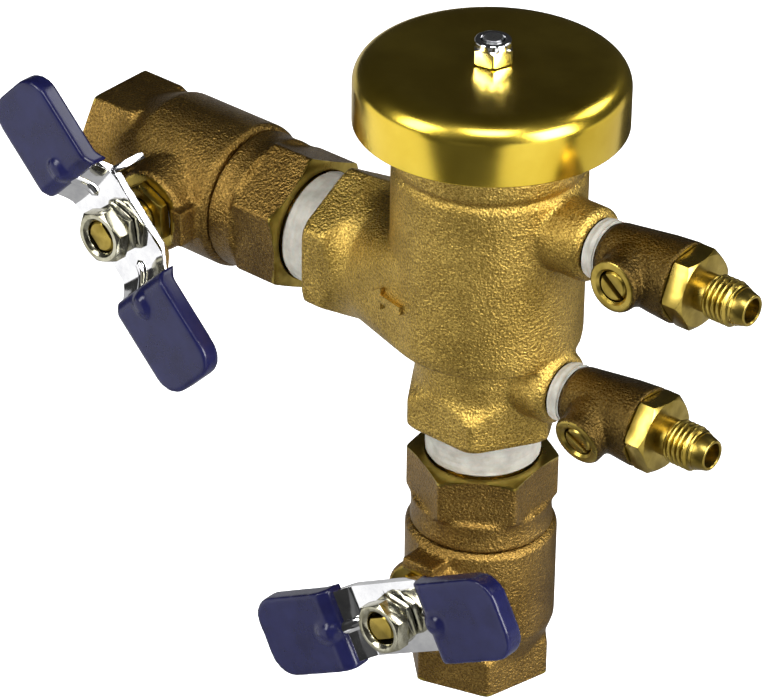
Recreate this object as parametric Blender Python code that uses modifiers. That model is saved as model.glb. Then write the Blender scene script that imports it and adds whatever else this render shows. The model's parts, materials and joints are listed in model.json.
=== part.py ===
"""Pressure vacuum breaker (backflow preventer) with two ball valves and two test cocks.

Metres, +Z up. The origin is the centre of the inlet valve's lower end face. Water enters there,
rises through the check valve in the body and leaves along -X through the outlet valve.
Valve handles and stems point to -Y, test cocks to +X.
"""
import math

import bmesh
import bpy
from mathutils import Euler, Matrix, Vector

MM = 0.001
GAP = 0.3 * MM            # clearance between neighbouring pieces
STEPS = 20                # segments of a turned piece
SMALL_STEPS = 12          # segments of a small turned piece
TOOL_TURN = 2.3           # degrees; keeps the corners of round tools off the corners of a piece
SPIGOT_TURN = 11.0        # the same for a tool joined to another round tool

# Heights and reaches of the whole assembly
OUTLET_Z = 105.0 * MM     # outlet axis
VALVE_FACE = 62.2 * MM    # body side face of the inlet valve
OUTLET_FACE = 54.4 * MM   # body side face of the outlet valve, from the body axis
INLET_HEX_Z = 72.2 * MM   # lower face of the body's inlet hexagon
OUTLET_HEX_X = 44.8 * MM  # outer face of the body's outlet hexagon

# Body casting
CHAMBER_R = 23.7 * MM
CHAMBER_FLOOR = 95.4 * MM
BODY_TOP = 150.0 * MM
NECK_R = 17.2 * MM
BODY_HEX_R = 20.2 * MM    # across corners, halved
CHAMBER_BORE = 19.5 * MM
THROAT_R = 10.5 * MM
SOCKET_R = 13.63 * MM     # 3/4 inch pipe socket
SOCKET_DEPTH = 11.5 * MM

# Canopy
CANOPY_R = 33.05 * MM
CANOPY_RIM = 153.8 * MM
CANOPY_TOP = 169.6 * MM
CANOPY_SHEET = 1.2 * MM
CANOPY_CORNER = 4.0 * MM

# Pipe nipples
NIPPLE_R = 13.33 * MM
NIPPLE_BORE = 10.4 * MM
NIPPLE_ENTRY = 11.0 * MM  # how far it is screwed into the fitting behind it
TAPE_R = 14.5 * MM

# Ball valve, measured from the ball's centre; +Z of the valve points to the body
# "top" and "tail" reach from the ball's centre to the end faces, "plate" to the handle's plate,
# out along the stem; "handle" turns from the valve's +X towards its +Z, in degrees
INLET_VALVE = {"top": 34.35 * MM, "tail": 27.85 * MM, "plate": 29.6 * MM,
               "handle": 28.4, "cap_turn": 34.6, "body_turn": 17.0}
OUTLET_VALVE = {"top": 36.0 * MM, "tail": 31.1 * MM, "plate": 31.75 * MM,
                "handle": 224.8, "cap_turn": 4.5, "body_turn": 31.0}
VALVE_HEX_R = 19.05 * MM
BARREL_R = 19.0 * MM
BARREL_RIM = 14.7 * MM
BARREL_FOOT = 13.9 * MM
WATERWAY_R = 9.4 * MM
BALL_R = 12.2 * MM
STEM_R = 4.0 * MM
STEM_FLATS = 5.6 * MM
PLATE_T = 2.5 * MM
HANDLE_HALF = 43.0 * MM   # centre to the tip of a grip
HANDLE_WIDTH = 21.6 * MM
GRIP_SKIN = 1.3 * MM
WING_STEP = 5.3 * MM      # how far the wings stand out from the centre plate
STEP_START = 11.0 * MM
STEP_END = 19.0 * MM
GRIP_START = 15.5 * MM
NUT_FRONT = 9.55 * MM     # lock nut's face, from the plate's inner side
STEM_END = 8.6 * MM
JAM_NUT = 2.2 * MM        # height of the nut under the lock nut
TAB_REACH = 8.5 * MM      # the plate's stop tab, inwards from the plate

# Test cocks, measured from the front face of the adaptor's hexagon
COCK_HEX_R = 10.1 * MM
COCK_R = 10.1 * MM        # at the hexagon; the casting narrows towards its thread
COCK_NECK_R = 7.8 * MM
COCK_START = 27.0 * MM
COCK_STEM_X = 17.2 * MM
COCK_BOSS_R = 6.7 * MM
COCK_BOSS_S = 13.0 * MM
COCK_THREAD_R = 6.86 * MM
FLARE_THREAD_R = 5.55 * MM
FLARE_PITCH = 1.4 * MM
FLARE_LENGTH = 13.7 * MM
FLARE_NECK = 2.8 * MM         # smooth, between the hexagon and the thread
FLARE_CRESTS = 5
UPPER_COCK = {"x": 64.4 * MM, "z": 132.2 * MM, "roll": 0.0, "slot": -38.5,
              "hex_turn": 34.8}
LOWER_COCK = {"x": 55.6 * MM, "z": 89.2 * MM, "roll": 15.0, "slot": -36.0,
              "hex_turn": 10.2}
COCK_PORT_DEPTH = 8.5 * MM
COCK_BOSS_REACH = 31.0 * MM   # from the hexagon's face back to the boss face on the body

MATERIALS = {
    "cast_bronze": ((0.33, 0.22, 0.07), 0.5, 0.9),
    "brass": ((0.72, 0.53, 0.18), 0.25, 1.0),
    "chrome": ((0.8, 0.8, 0.8), 0.12, 1.0),
    "steel": ((0.55, 0.56, 0.57), 0.3, 1.0),
    "vinyl": ((0.02, 0.025, 0.12), 0.3, 0.0),
    "tape": ((0.85, 0.85, 0.83), 0.6, 0.0),
    "rubber": ((0.03, 0.03, 0.03), 0.7, 0.0),
    "ptfe": ((0.9, 0.9, 0.88), 0.5, 0.0),
    "plastic": ((0.75, 0.74, 0.7), 0.45, 0.0),
}

ALONG = {
    "Z": Euler((0, 0, 0)),
    "-Y": Euler((math.pi / 2, 0, 0)),
    "X": Euler((0, math.pi / 2, 0)),
    "-X": Euler((0, -math.pi / 2, 0)),
}


# ---------------------------------------------------------------- scene and helpers

def clear_scene():
    for thing in list(bpy.data.objects):
        bpy.data.objects.remove(thing, do_unlink=True)


def new_collection(name):
    collection = bpy.data.collections.new(name)
    bpy.context.scene.collection.children.link(collection)
    return collection


def make_material(name):
    colour, roughness, metallic = MATERIALS[name]
    material = bpy.data.materials.new(name)
    material.use_nodes = True
    shader = material.node_tree.nodes["Principled BSDF"]
    shader.inputs["Base Color"].default_value = (*colour, 1.0)
    shader.inputs["Roughness"].default_value = roughness
    shader.inputs["Metallic"].default_value = metallic
    material.diffuse_color = (*colour, 1.0)
    return material


def frame(name, location, rotation=(0, 0, 0), parent=None):
    """An empty that carries a sub-assembly."""
    empty = bpy.data.objects.new(name, None)
    PARTS.objects.link(empty)
    empty.location = location
    empty.rotation_euler = rotation
    empty.parent = parent
    return empty


def add(name, mesh, material=None, parent=None, at=(0, 0, 0), along="Z", turn=0.0):
    """A mesh as a part, or as a cutter where no material is given."""
    thing = bpy.data.objects.new(name, mesh)
    thing.location = at
    spin = Matrix.Rotation(math.radians(turn), 4, "Z")
    thing.rotation_euler = (ALONG[along].to_matrix().to_4x4() @ spin).to_euler()
    thing.parent = parent
    if material is None:
        CUTTERS.objects.link(thing)
        thing.hide_render = True
        thing.display_type = "WIRE"
    else:
        PARTS.objects.link(thing)
        mesh.materials.append(LOOKS[material])
    return thing


def turned(name, profile, steps=STEPS, **place):
    """Revolves an (r, z) outline, closed or ending on the axis, about Z."""
    if "material" not in place:
        place.setdefault("turn", TOOL_TURN)
    area = sum(a[0] * b[1] - b[0] * a[1] for a, b in zip(profile, profile[1:] + profile[:1]))
    points = list(profile) if area < 0 else list(reversed(profile))
    on_axis = [i for i, p in enumerate(points) if p[0] == 0]
    if on_axis:
        start = next(i for i in on_axis if points[i - 1][0] == 0)
        points = points[start:] + points[:start]
    links = [(i, i + 1) for i in range(len(points) - 1)]
    if not on_axis:
        links.append((len(points) - 1, 0))
    mesh = bpy.data.meshes.new(name)
    mesh.from_pydata([(r, 0, z) for r, z in points], links, [])
    thing = add(name, mesh, **place)
    screw = thing.modifiers.new("turn", "SCREW")
    screw.steps = steps
    screw.render_steps = steps
    screw.use_merge_vertices = True
    screw.merge_threshold = 0.00001
    screw.use_smooth_shade = True
    return thing


def cylinder(name, radius, low, high, steps=STEPS, **place):
    return turned(name, [(0, high), (radius, high), (radius, low), (0, low)], steps, **place)


def ring(name, inner, outer, low, high, steps=STEPS, **place):
    outline = [(inner, low), (inner, high), (outer, high), (outer, low)]
    return turned(name, outline, steps, **place)


def prism(name, sides, radius, low, high, **place):
    """A regular prism along Z, with a corner at +X before its turn."""
    mesh = bpy.data.meshes.new(name)
    shape = bmesh.new()
    lift = Matrix.Translation((0, 0, (low + high) / 2))
    spin = Matrix.Rotation(math.pi / 2, 4, "Z")
    bmesh.ops.create_cone(shape, cap_ends=True, segments=sides, radius1=radius, radius2=radius,
                          depth=high - low, matrix=lift @ spin)
    shape.to_mesh(mesh)
    shape.free()
    return add(name, mesh, **place)


def box(name, low, high, **place):
    mesh = bpy.data.meshes.new(name)
    shape = bmesh.new()
    low, high = Vector(low), Vector(high)
    scale = Matrix.Diagonal((*(high - low), 1))
    bmesh.ops.create_cube(shape, size=1, matrix=Matrix.Translation((low + high) / 2) @ scale)
    shape.to_mesh(mesh)
    shape.free()
    return add(name, mesh, **place)


def sphere(name, radius, **place):
    mesh = bpy.data.meshes.new(name)
    shape = bmesh.new()
    bmesh.ops.create_uvsphere(shape, u_segments=14, v_segments=8, radius=radius)
    for face in shape.faces:
        face.smooth = True
    shape.to_mesh(mesh)
    shape.free()
    return add(name, mesh, **place)


def boolean(target, tool, operation, solver="EXACT"):
    step = target.modifiers.new(operation.lower(), "BOOLEAN")
    step.operation = operation
    step.object = tool
    step.solver = solver


def cut(target, tool, solver="EXACT"):
    boolean(target, tool, "DIFFERENCE", solver)


def join(target, tool):
    boolean(target, tool, "UNION")


def soften(target, width, segments=2):
    bevel = target.modifiers.new("edges", "BEVEL")
    bevel.width = width
    bevel.segments = segments
    bevel.limit_method = "ANGLE"
    bevel.angle_limit = math.radians(35)


def arc(centre, radius, start, end, count):
    """Points of an arc in the (r, z) plane; angles in degrees from +r towards +z."""
    points = []
    for i in range(count + 1):
        angle = math.radians(start + (end - start) * i / count)
        points.append((centre[0] + radius * math.cos(angle), centre[1] + radius * math.sin(angle)))
    return points


# ---------------------------------------------------------------- body casting

def flared_hexagon(name, radius, length, neck, parent, at, along, turn):
    """A wrench hexagon, chamfered at its open face and faired into a round neck behind."""
    hexagon = prism(name, 6, radius, -2 * MM, length + 9 * MM, parent=parent, at=at, along=along,
                    turn=turn)
    cone = [(0, 0), (radius - 1.6 * MM, 0), (radius + 0.6 * MM, 1.3 * MM),
            (radius + 0.6 * MM, length - 3 * MM)]
    cone += arc((neck + 7 * MM, length + 4 * MM), 7 * MM, 250, 180, 3)
    cone += [(neck, length + 6.5 * MM), (0, length + 6.5 * MM)]
    envelope = turned(name + "_envelope", cone, parent=parent, at=at, along=along)
    boolean(hexagon, envelope, "INTERSECT")
    return hexagon


def outlet_fairing():
    """The casting sweeps from the chamber's foot into the outlet neck."""
    mesh = bpy.data.meshes.new("outlet_fairing")
    shape = bmesh.new()
    rims = [
        (Matrix.Translation((0, 0, CHAMBER_FLOOR + 0.6 * MM)), CHAMBER_R - 0.5 * MM),
        (Matrix.Translation((0, 0, OUTLET_Z + 17 * MM)), CHAMBER_R - 0.5 * MM),
        (Matrix.Translation((-30.5 * MM, 0, OUTLET_Z)) @ Matrix.Rotation(math.pi / 2, 4, "Y"),
         NECK_R),
    ]
    for place, radius in rims:
        bmesh.ops.create_circle(shape, segments=20, radius=radius, matrix=place)
    hull = bmesh.ops.convex_hull(shape, input=shape.verts)
    loose = [v for v in hull["geom_interior"] + hull["geom_unused"]
             if isinstance(v, bmesh.types.BMVert)]
    bmesh.ops.delete(shape, geom=loose, context="VERTS")
    shape.to_mesh(mesh)
    shape.free()
    return add("outlet_fairing", mesh)


def body_casting():
    outline = [(0, 78 * MM), (NECK_R, 78 * MM), (NECK_R, CHAMBER_FLOOR - 2.2 * MM)]
    outline += [(NECK_R + 1.6 * MM, CHAMBER_FLOOR - 0.4 * MM)]
    outline += arc((CHAMBER_R - 3.5 * MM, CHAMBER_FLOOR + 3.3 * MM), 3.5 * MM, -80, 0, 3)
    groove = 143.0 * MM
    outline += [(CHAMBER_R, groove - 1.3 * MM), (CHAMBER_R - 0.9 * MM, groove - 0.3 * MM),
                (CHAMBER_R - 0.9 * MM, groove + 0.3 * MM), (CHAMBER_R, groove + 1.3 * MM),
                (CHAMBER_R, BODY_TOP - 1 * MM), (CHAMBER_R - 1 * MM, BODY_TOP), (0, BODY_TOP)]
    body = turned("body", outline, 28, material="cast_bronze")

    join(body, outlet_fairing())
    join(body, flared_hexagon("inlet_hexagon", BODY_HEX_R, 10 * MM, NECK_R, None,
                              (0, 0, INLET_HEX_Z), "Z", 0))
    join(body, flared_hexagon("outlet_hexagon", BODY_HEX_R, 8.5 * MM, NECK_R, None,
                              (-OUTLET_HEX_X, 0, OUTLET_Z), "X", 0))
    for name, cock in (("upper", UPPER_COCK), ("lower", LOWER_COCK)):
        face = cock["x"] - COCK_BOSS_REACH
        edge = 1.2 * MM
        radius = 9.3 * MM
        boss = turned(name + "_cock_boss",
                      [(0, 2 * MM), (radius, 2 * MM), (radius, face - edge),
                       (radius - edge, face), (0, face)],
                      20, at=(0, 0, cock["z"]), along="X")
        join(body, boss)

    chamber = [(0, CHAMBER_FLOOR + 4.4 * MM), (THROAT_R, CHAMBER_FLOOR + 4.4 * MM),
               (THROAT_R, CHAMBER_FLOOR + 5.6 * MM), (THROAT_R + 2 * MM, CHAMBER_FLOOR + 5.6 * MM),
               (THROAT_R + 3 * MM, CHAMBER_FLOOR + 3.8 * MM),
               (CHAMBER_BORE, CHAMBER_FLOOR + 3.8 * MM), (CHAMBER_BORE, BODY_TOP - 2.4 * MM),
               (CHAMBER_BORE + 2.1 * MM, BODY_TOP - 2.4 * MM),
               (CHAMBER_BORE + 2.1 * MM, BODY_TOP + 2 * MM), (0, BODY_TOP + 2 * MM)]
    cut(body, turned("chamber", chamber))
    inlet = [(0, INLET_HEX_Z - 2 * MM), (SOCKET_R, INLET_HEX_Z - 2 * MM),
             (SOCKET_R, INLET_HEX_Z + SOCKET_DEPTH), (THROAT_R, INLET_HEX_Z + SOCKET_DEPTH + 1 * MM),
             (THROAT_R, CHAMBER_FLOOR + 7 * MM), (0, CHAMBER_FLOOR + 7 * MM)]
    cut(body, turned("inlet_bore", inlet))
    outlet = [(0, -2 * MM), (SOCKET_R, -2 * MM), (SOCKET_R, SOCKET_DEPTH),
              (THROAT_R, SOCKET_DEPTH + 1 * MM), (THROAT_R, OUTLET_HEX_X - 5 * MM),
              (0, OUTLET_HEX_X - 5 * MM)]
    cut(body, turned("outlet_bore", outlet, at=(-OUTLET_HEX_X, 0, OUTLET_Z), along="X"),
        "MANIFOLD")
    for name, cock in (("upper", UPPER_COCK), ("lower", LOWER_COCK)):
        face = cock["x"] - COCK_BOSS_REACH
        floor = face - COCK_PORT_DEPTH
        port = [(0, 5 * MM), (2.5 * MM, 5 * MM), (2.5 * MM, floor - 1 * MM),
                (COCK_THREAD_R + GAP, floor), (COCK_THREAD_R + GAP, face + 2 * MM),
                (0, face + 2 * MM)]
        cut(body, turned(name + "_cock_port", port, SMALL_STEPS, at=(0, 0, cock["z"]), along="X"),
            "MANIFOLD")


# ---------------------------------------------------------------- air inlet and check valve

def bonnet():
    spigot = CHAMBER_BORE - GAP
    low = 141.0 * MM
    outline = [(11 * MM, low), (12.6 * MM, low), (12.6 * MM, low + 2 * MM), (spigot, low + 2 * MM),
               (spigot, BODY_TOP + GAP), (22.9 * MM, BODY_TOP + GAP),
               (22.9 * MM, BODY_TOP + 3.6 * MM), (20.5 * MM, BODY_TOP + 4.6 * MM),
               (17.5 * MM, BODY_TOP + 4.6 * MM), (11 * MM, low + 4 * MM)]
    cap = turned("bonnet", outline, material="brass")
    bridge = 2.6 * MM
    for i in range(3):
        rib = box(f"bonnet_rib_{i}", (2 * MM, -bridge, BODY_TOP + 1.2 * MM),
                  (18.6 * MM, bridge, BODY_TOP + 4.2 * MM), turn=60 + 120 * i)
        join(cap, rib)
    join(cap, cylinder("bonnet_boss", 6 * MM, BODY_TOP + 0.4 * MM, BODY_TOP + 9 * MM, SMALL_STEPS))
    cut(cap, cylinder("bonnet_screw_hole", 2.5 * MM + GAP, BODY_TOP + 4 * MM, BODY_TOP + 12 * MM,
                      SMALL_STEPS))


def bonnet_seal():
    turned("bonnet_seal", arc((CHAMBER_BORE + 0.9 * MM, BODY_TOP - 1.1 * MM), 0.8 * MM, 0, 315, 7),
           material="rubber")


def canopy():
    outer, inner = CANOPY_R, CANOPY_R - CANOPY_SHEET
    hole = 2.9 * MM
    outline = [(hole, CANOPY_TOP), (outer - CANOPY_CORNER, CANOPY_TOP)]
    outline += arc((outer - CANOPY_CORNER, CANOPY_TOP - CANOPY_CORNER), CANOPY_CORNER, 70, 0, 3)
    outline += [(outer, CANOPY_RIM), (inner, CANOPY_RIM)]
    outline += arc((outer - CANOPY_CORNER, CANOPY_TOP - CANOPY_CORNER),
                   CANOPY_CORNER - CANOPY_SHEET, 0, 90, 3)
    outline += [(hole, CANOPY_TOP - CANOPY_SHEET)]
    turned("canopy", outline, 36, material="brass")


def canopy_fixings():
    top = CANOPY_TOP + GAP
    height = 5.6 * MM
    cylinder("canopy_screw", 2.4 * MM, BODY_TOP + 4.4 * MM, top + height + 0.4 * MM, SMALL_STEPS,
             material="steel")
    nut = prism("canopy_nut", 6, 5.1 * MM, top - 2 * MM, top + height + 2 * MM,
                material="chrome", turn=12)
    dome = [(0, top), (5.2 * MM, top), (5.2 * MM, top + 3.7 * MM),
            (4.4 * MM, top + 4.2 * MM), (4.3 * MM, top + 5.0 * MM), (3.9 * MM, top + height),
            (0, top + height)]
    boolean(nut, turned("canopy_nut_shape", dome, SMALL_STEPS), "INTERSECT")
    cut(nut, cylinder("canopy_nut_bore", 2.4 * MM + GAP, top - 2 * MM, top + 9 * MM, SMALL_STEPS))


def air_float(parent):
    low, high = -6.0 * MM, 5.0 * MM
    wall = 1.4 * MM
    radius = 15 * MM
    outline = [(0, high - wall), (radius - wall, high - wall), (radius - wall, low), (radius, low),
               (radius, high), (5 * MM, high), (5 * MM, high + 3 * MM), (2.4 * MM, high + 4 * MM),
               (2.4 * MM, high + 12 * MM), (0, high + 12 * MM)]
    turned("float", outline, 20, material="plastic", parent=parent)
    ring("float_seal", 5 * MM + GAP, 14.6 * MM, high + GAP, high + 2.3 * MM, 20,
         material="rubber", parent=parent)


def check_guide():
    floor = 113.7 * MM
    guide = ring("check_guide", 2.9 * MM, CHAMBER_BORE - GAP, floor, floor + 2.6 * MM,
                 material="plastic")
    join(guide, ring("guide_tower", 2.9 * MM, 5 * MM, floor + 1 * MM, floor + 6 * MM, SMALL_STEPS))
    for i in range(4):
        angle = math.radians(45 + 90 * i)
        at = (12 * MM * math.cos(angle), 12 * MM * math.sin(angle), 0)
        cut(guide, cylinder(f"guide_hole_{i}", 5 * MM, floor - 2 * MM, floor + 4 * MM, SMALL_STEPS,
                            at=at))


def check_poppet(parent):
    """The poppet, its rubber disc and the washer that holds the disc; the frame is on the seat."""
    stem = 2.5 * MM
    outline = [(0, 1 * MM), (stem, 1 * MM), (stem, 2.9 * MM), (14 * MM, 2.9 * MM),
               (14 * MM, 4.3 * MM), (stem, 4.9 * MM), (stem, 17 * MM), (0, 17 * MM)]
    turned("check_poppet", outline, 20, material="plastic", parent=parent)
    ring("check_disc", stem + GAP, 13.4 * MM, GAP, 2.6 * MM, 20, material="rubber", parent=parent)
    washer = [(0, -2.2 * MM), (6.5 * MM, -2.2 * MM), (8 * MM, -1.2 * MM), (8 * MM, 0),
              (stem - GAP, 0), (stem - GAP, 0.6 * MM), (0, 0.6 * MM)]
    turned("disc_retainer", washer, SMALL_STEPS, material="brass", parent=parent)


def check_spring():
    low, high = 106.4 * MM, 113.1 * MM
    turns, per_turn = 4, 10
    radius, wire = 5.2 * MM, 0.45 * MM
    curve = bpy.data.curves.new("check_spring", "CURVE")
    curve.dimensions = "3D"
    curve.bevel_depth = wire
    curve.bevel_resolution = 1
    curve.use_fill_caps = True
    spline = curve.splines.new("POLY")
    count = turns * per_turn + 1
    spline.points.add(count - 1)
    for i, point in enumerate(spline.points):
        angle = 2 * math.pi * i / per_turn
        height = low + wire + (high - low - 2 * wire) * i / (count - 1)
        point.co = (radius * math.cos(angle), radius * math.sin(angle), height, 1)
    thing = bpy.data.objects.new("check_spring", curve)
    PARTS.objects.link(thing)
    curve.materials.append(LOOKS["steel"])


# ---------------------------------------------------------------- pipe nipples

def nipple(name, at, along, start):
    """A close nipple and the tape on its bare threads, between the valve face and the body."""
    length = 31 * MM
    ring(name + "_nipple", NIPPLE_BORE, NIPPLE_R, start, start + length, material="brass",
         at=at, along=along)
    low = start + NIPPLE_ENTRY
    tape = [(NIPPLE_R + 0.25 * MM, low + GAP), (TAPE_R - 0.4 * MM, low + GAP),
            (TAPE_R, low + 1.5 * MM), (TAPE_R, low + 8 * MM), (TAPE_R - 0.3 * MM, low + 9.4 * MM),
            (NIPPLE_R + 0.25 * MM, low + 9.4 * MM)]
    turned(name + "_nipple_tape", tape, material="tape", at=at, along=along)


# ---------------------------------------------------------------- ball valves

def valve_end_cap(name, parent, size):
    top = size["top"]
    hexagon = prism(name, 6, VALVE_HEX_R, 19 * MM, top + 2 * MM, material="cast_bronze",
                    parent=parent, turn=size["cap_turn"])
    chamfer = [(0, 21 * MM), (16.8 * MM, 21 * MM), (VALVE_HEX_R + 0.4 * MM, 22.8 * MM),
               (VALVE_HEX_R + 0.4 * MM, top - 1.2 * MM), (16.7 * MM, top),
               (0, top)]
    boolean(hexagon, turned(name + "_chamfer", chamfer, parent=parent), "INTERSECT")
    spigot = [(0, 8 * MM), (15.9 * MM, 8 * MM), (15.9 * MM, BARREL_RIM + GAP),
              (17.9 * MM, BARREL_RIM + GAP), (17.5 * MM, 19 * MM), (17.8 * MM, 22.3 * MM),
              (0, 22.3 * MM)]
    join(hexagon, turned(name + "_spigot", spigot, parent=parent, turn=SPIGOT_TURN))
    bore = [(0, 6 * MM), (12.6 * MM, 6 * MM), (12.6 * MM, 10.9 * MM), (WATERWAY_R, 10.9 * MM),
            (WATERWAY_R, top - 12.5 * MM), (SOCKET_R, top - 11.5 * MM),
            (SOCKET_R, top + 2 * MM), (0, top + 2 * MM)]
    cut(hexagon, turned(name + "_bore", bore, parent=parent))


def valve_body(name, parent, size):
    """The barrel with its integral wrench hexagon, stem boss and the two handle stops."""
    tail = size["tail"]
    outline = [(0, BARREL_RIM), (BARREL_R - 1.2 * MM, BARREL_RIM), (BARREL_R, BARREL_RIM - 1.2 * MM),
               (BARREL_R, -BARREL_FOOT + 1.5 * MM), (BARREL_R - 0.5 * MM, -BARREL_FOOT),
               (16.5 * MM, -19.5 * MM), (16.3 * MM, -23 * MM), (0, -23 * MM)]
    barrel = turned(name, outline, 24, material="cast_bronze", parent=parent)
    hexagon = prism(name + "_hexagon", 6, VALVE_HEX_R - 0.1 * MM, -tail - 2 * MM, -13 * MM,
                    parent=parent, turn=size["body_turn"])
    chamfer = [(0, -tail), (VALVE_HEX_R - 0.6 * MM, -tail),
               (VALVE_HEX_R + 0.4 * MM, -tail + 0.6 * MM), (VALVE_HEX_R + 0.4 * MM, -19 * MM),
               (16 * MM, -15.5 * MM), (0, -15.5 * MM)]
    boolean(hexagon, turned(name + "_chamfer", chamfer, parent=parent), "INTERSECT")
    join(barrel, hexagon)

    boss_r, boss_s = 11.0 * MM, 23.4 * MM
    boss = [(0, 5 * MM), (boss_r + 1.5 * MM, 5 * MM), (boss_r + 1.5 * MM, 15 * MM),
            (boss_r, 19 * MM), (boss_r, boss_s - 1 * MM), (boss_r - 1 * MM, boss_s), (0, boss_s)]
    join(barrel, turned(name + "_boss", boss, 20, parent=parent, along="-Y"))
    stops = [((-4.5 * MM, -25 * MM, 9 * MM), (5 * MM, -8 * MM, 12.6 * MM)),
             ((-5 * MM, -24 * MM, -13 * MM), (6 * MM, -8 * MM, -9.5 * MM))]
    for i, (low, high) in enumerate(stops):
        join(barrel, box(f"{name}_stop_{i}", low, high, parent=parent))

    bore = [(0, 16 * MM), (15.9 * MM + GAP, 16 * MM), (15.9 * MM + GAP, 7.7 * MM),
            (13.6 * MM, 7.7 * MM), (13.6 * MM, -10.9 * MM), (WATERWAY_R, -10.9 * MM),
            (WATERWAY_R, -tail + 12.8 * MM), (13.1 * MM, -tail + 11.8 * MM),
            (SOCKET_R, -tail - 2 * MM), (0, -tail - 2 * MM)]
    cut(barrel, turned(name + "_bore", bore, parent=parent))
    stem_hole = [(0, 8 * MM), (6.4 * MM, 8 * MM), (6.4 * MM, 15.5 * MM), (5.0 * MM, 15.5 * MM),
                 (5.0 * MM, 18.6 * MM), (7.6 * MM, 18.6 * MM), (7.6 * MM, boss_s + 4 * MM),
                 (0, boss_s + 4 * MM)]
    cut(barrel, turned(name + "_stem_hole", stem_hole, SMALL_STEPS, parent=parent, along="-Y"))


def valve_seats(name, parent):
    """Two rings, one each side of the ball; the body-side one sits in the end cap."""
    for label, side, outer in (("a", 1, 12.3 * MM), ("b", -1, 13.3 * MM)):
        outline = [(9.7 * MM, side * 10.6 * MM), (outer, side * 10.6 * MM),
                   (outer, side * 6.5 * MM), (11.0 * MM, side * 6.5 * MM),
                   (9.7 * MM, side * 8.2 * MM)]
        turned(f"{name}_ball_seat_{label}", outline, material="ptfe", parent=parent)


def valve_packing(name, parent):
    ring(name + "_stem_packing", 4.7 * MM + GAP, 7.3 * MM, 18.9 * MM, 21.6 * MM, SMALL_STEPS,
         material="ptfe", parent=parent, along="-Y")
    nut = prism(name + "_gland_nut", 6, 8.6 * MM, 23.7 * MM, 26.6 * MM, material="brass",
                parent=parent, along="-Y", turn=20)
    join(nut, cylinder(name + "_gland_thread", 7.3 * MM, 21.9 * MM, 24.4 * MM, SMALL_STEPS,
                       parent=parent, along="-Y"))
    cut(nut, cylinder(name + "_gland_bore", 4.7 * MM + GAP, 20 * MM, 28 * MM, SMALL_STEPS,
                      parent=parent, along="-Y"))


def ball_and_stem(name, spindle, plate):
    """The spindle frame's X is the handle's long axis, -Y runs out along the stem."""
    ball = sphere(name + "_ball", BALL_R, material="chrome", parent=spindle)
    cut(ball, cylinder(name + "_ball_bore", WATERWAY_R, -15 * MM, 15 * MM, 20, parent=spindle,
                       along="X"))
    cut(ball, box(name + "_ball_slot", (-7 * MM, -15 * MM, -2.5 * MM),
                  (7 * MM, -9.6 * MM, 2.5 * MM), parent=spindle))
    end = plate + STEM_END
    outline = [(0, 12.8 * MM), (6 * MM, 12.8 * MM), (6 * MM, 15 * MM), (4.7 * MM, 15 * MM),
               (4.7 * MM, plate - 1 * MM), (STEM_R, plate - 0.6 * MM), (STEM_R, end - 0.6 * MM),
               (STEM_R - 0.5 * MM, end), (0, end)]
    stem = turned(name + "_stem", outline, SMALL_STEPS, material="brass", parent=spindle,
                  along="-Y")
    join(stem, box(name + "_tang", (-4 * MM, -13.4 * MM, -2.2 * MM),
                   (4 * MM, -10.0 * MM, 2.2 * MM), parent=spindle))
    for side in (-1, 1):
        low, high = sorted((side * STEM_FLATS / 2, side * 6 * MM))
        cut(stem, box(f"{name}_stem_flat_{side}", (-6 * MM, -end - 3 * MM, low),
                      (6 * MM, -plate + 0.5 * MM, high), parent=spindle))


def strip_outline(plate, inner, outer, grow, reach):
    """The handle's bent strip seen along its width: (x, s) points, s out along the stem."""
    near, far = plate - grow, plate + PLATE_T + grow
    rise = WING_STEP
    upper = [(-outer, far + rise), (-STEP_END, far + rise), (-STEP_START, far),
             (STEP_START, far), (STEP_END, far + rise), (outer, far + rise)]
    lower = [(outer, near + rise), (STEP_END, near + rise), (STEP_START, near),
             (-STEP_START, near), (-STEP_END, near + rise), (-outer, near + rise)]
    if not reach:
        return upper + lower
    edge = inner
    ramp = (edge - STEP_START) / (STEP_END - STEP_START)
    lift = rise * max(0.0, min(1.0, ramp))
    upper = [(edge, far + lift), (STEP_END, far + rise), (outer, far + rise)]
    lower = [(outer, near + rise), (STEP_END, near + rise), (edge, near + lift)]
    return [(reach * x, s) for x, s in upper + lower]


def extruded(name, points, half, hold, **place):
    """A flat outline in the XY plane, extruded both ways, as a mesh."""
    curve = bpy.data.curves.new(name, "CURVE")
    curve.dimensions = "2D"
    curve.fill_mode = "BOTH"
    curve.extrude = half
    spline = curve.splines.new("POLY")
    spline.points.add(len(points) - 1)
    for point, (x, y) in zip(spline.points, points):
        point.co = (x, y, 0, 1)
    spline.use_cyclic_u = True
    source = bpy.data.objects.new(name + "_curve", curve)
    bpy.context.scene.collection.objects.link(source)
    graph = bpy.context.evaluated_depsgraph_get()
    mesh = bpy.data.meshes.new_from_object(source.evaluated_get(graph))
    bpy.data.objects.remove(source, do_unlink=True)
    bpy.data.curves.remove(curve)
    shape = bmesh.new()
    shape.from_mesh(mesh)
    bmesh.ops.remove_doubles(shape, verts=shape.verts, dist=0.00001)
    bmesh.ops.recalc_face_normals(shape, faces=shape.faces)
    bmesh.ops.transform(shape, matrix=hold, verts=shape.verts)
    shape.to_mesh(mesh)
    shape.free()
    mesh.materials.clear()
    return add(name, mesh, **place)


def rounded_rectangle(x0, x1, half, corner):
    """Points of a rectangle with round corners, for the handle's plan."""
    points = []
    for cx, cy, start in ((x1 - corner, half - corner, 0), (x0 + corner, half - corner, 90),
                          (x0 + corner, corner - half, 180), (x1 - corner, corner - half, 270)):
        points += arc((cx, cy), corner, start, start + 90, 3)
    return points


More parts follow.
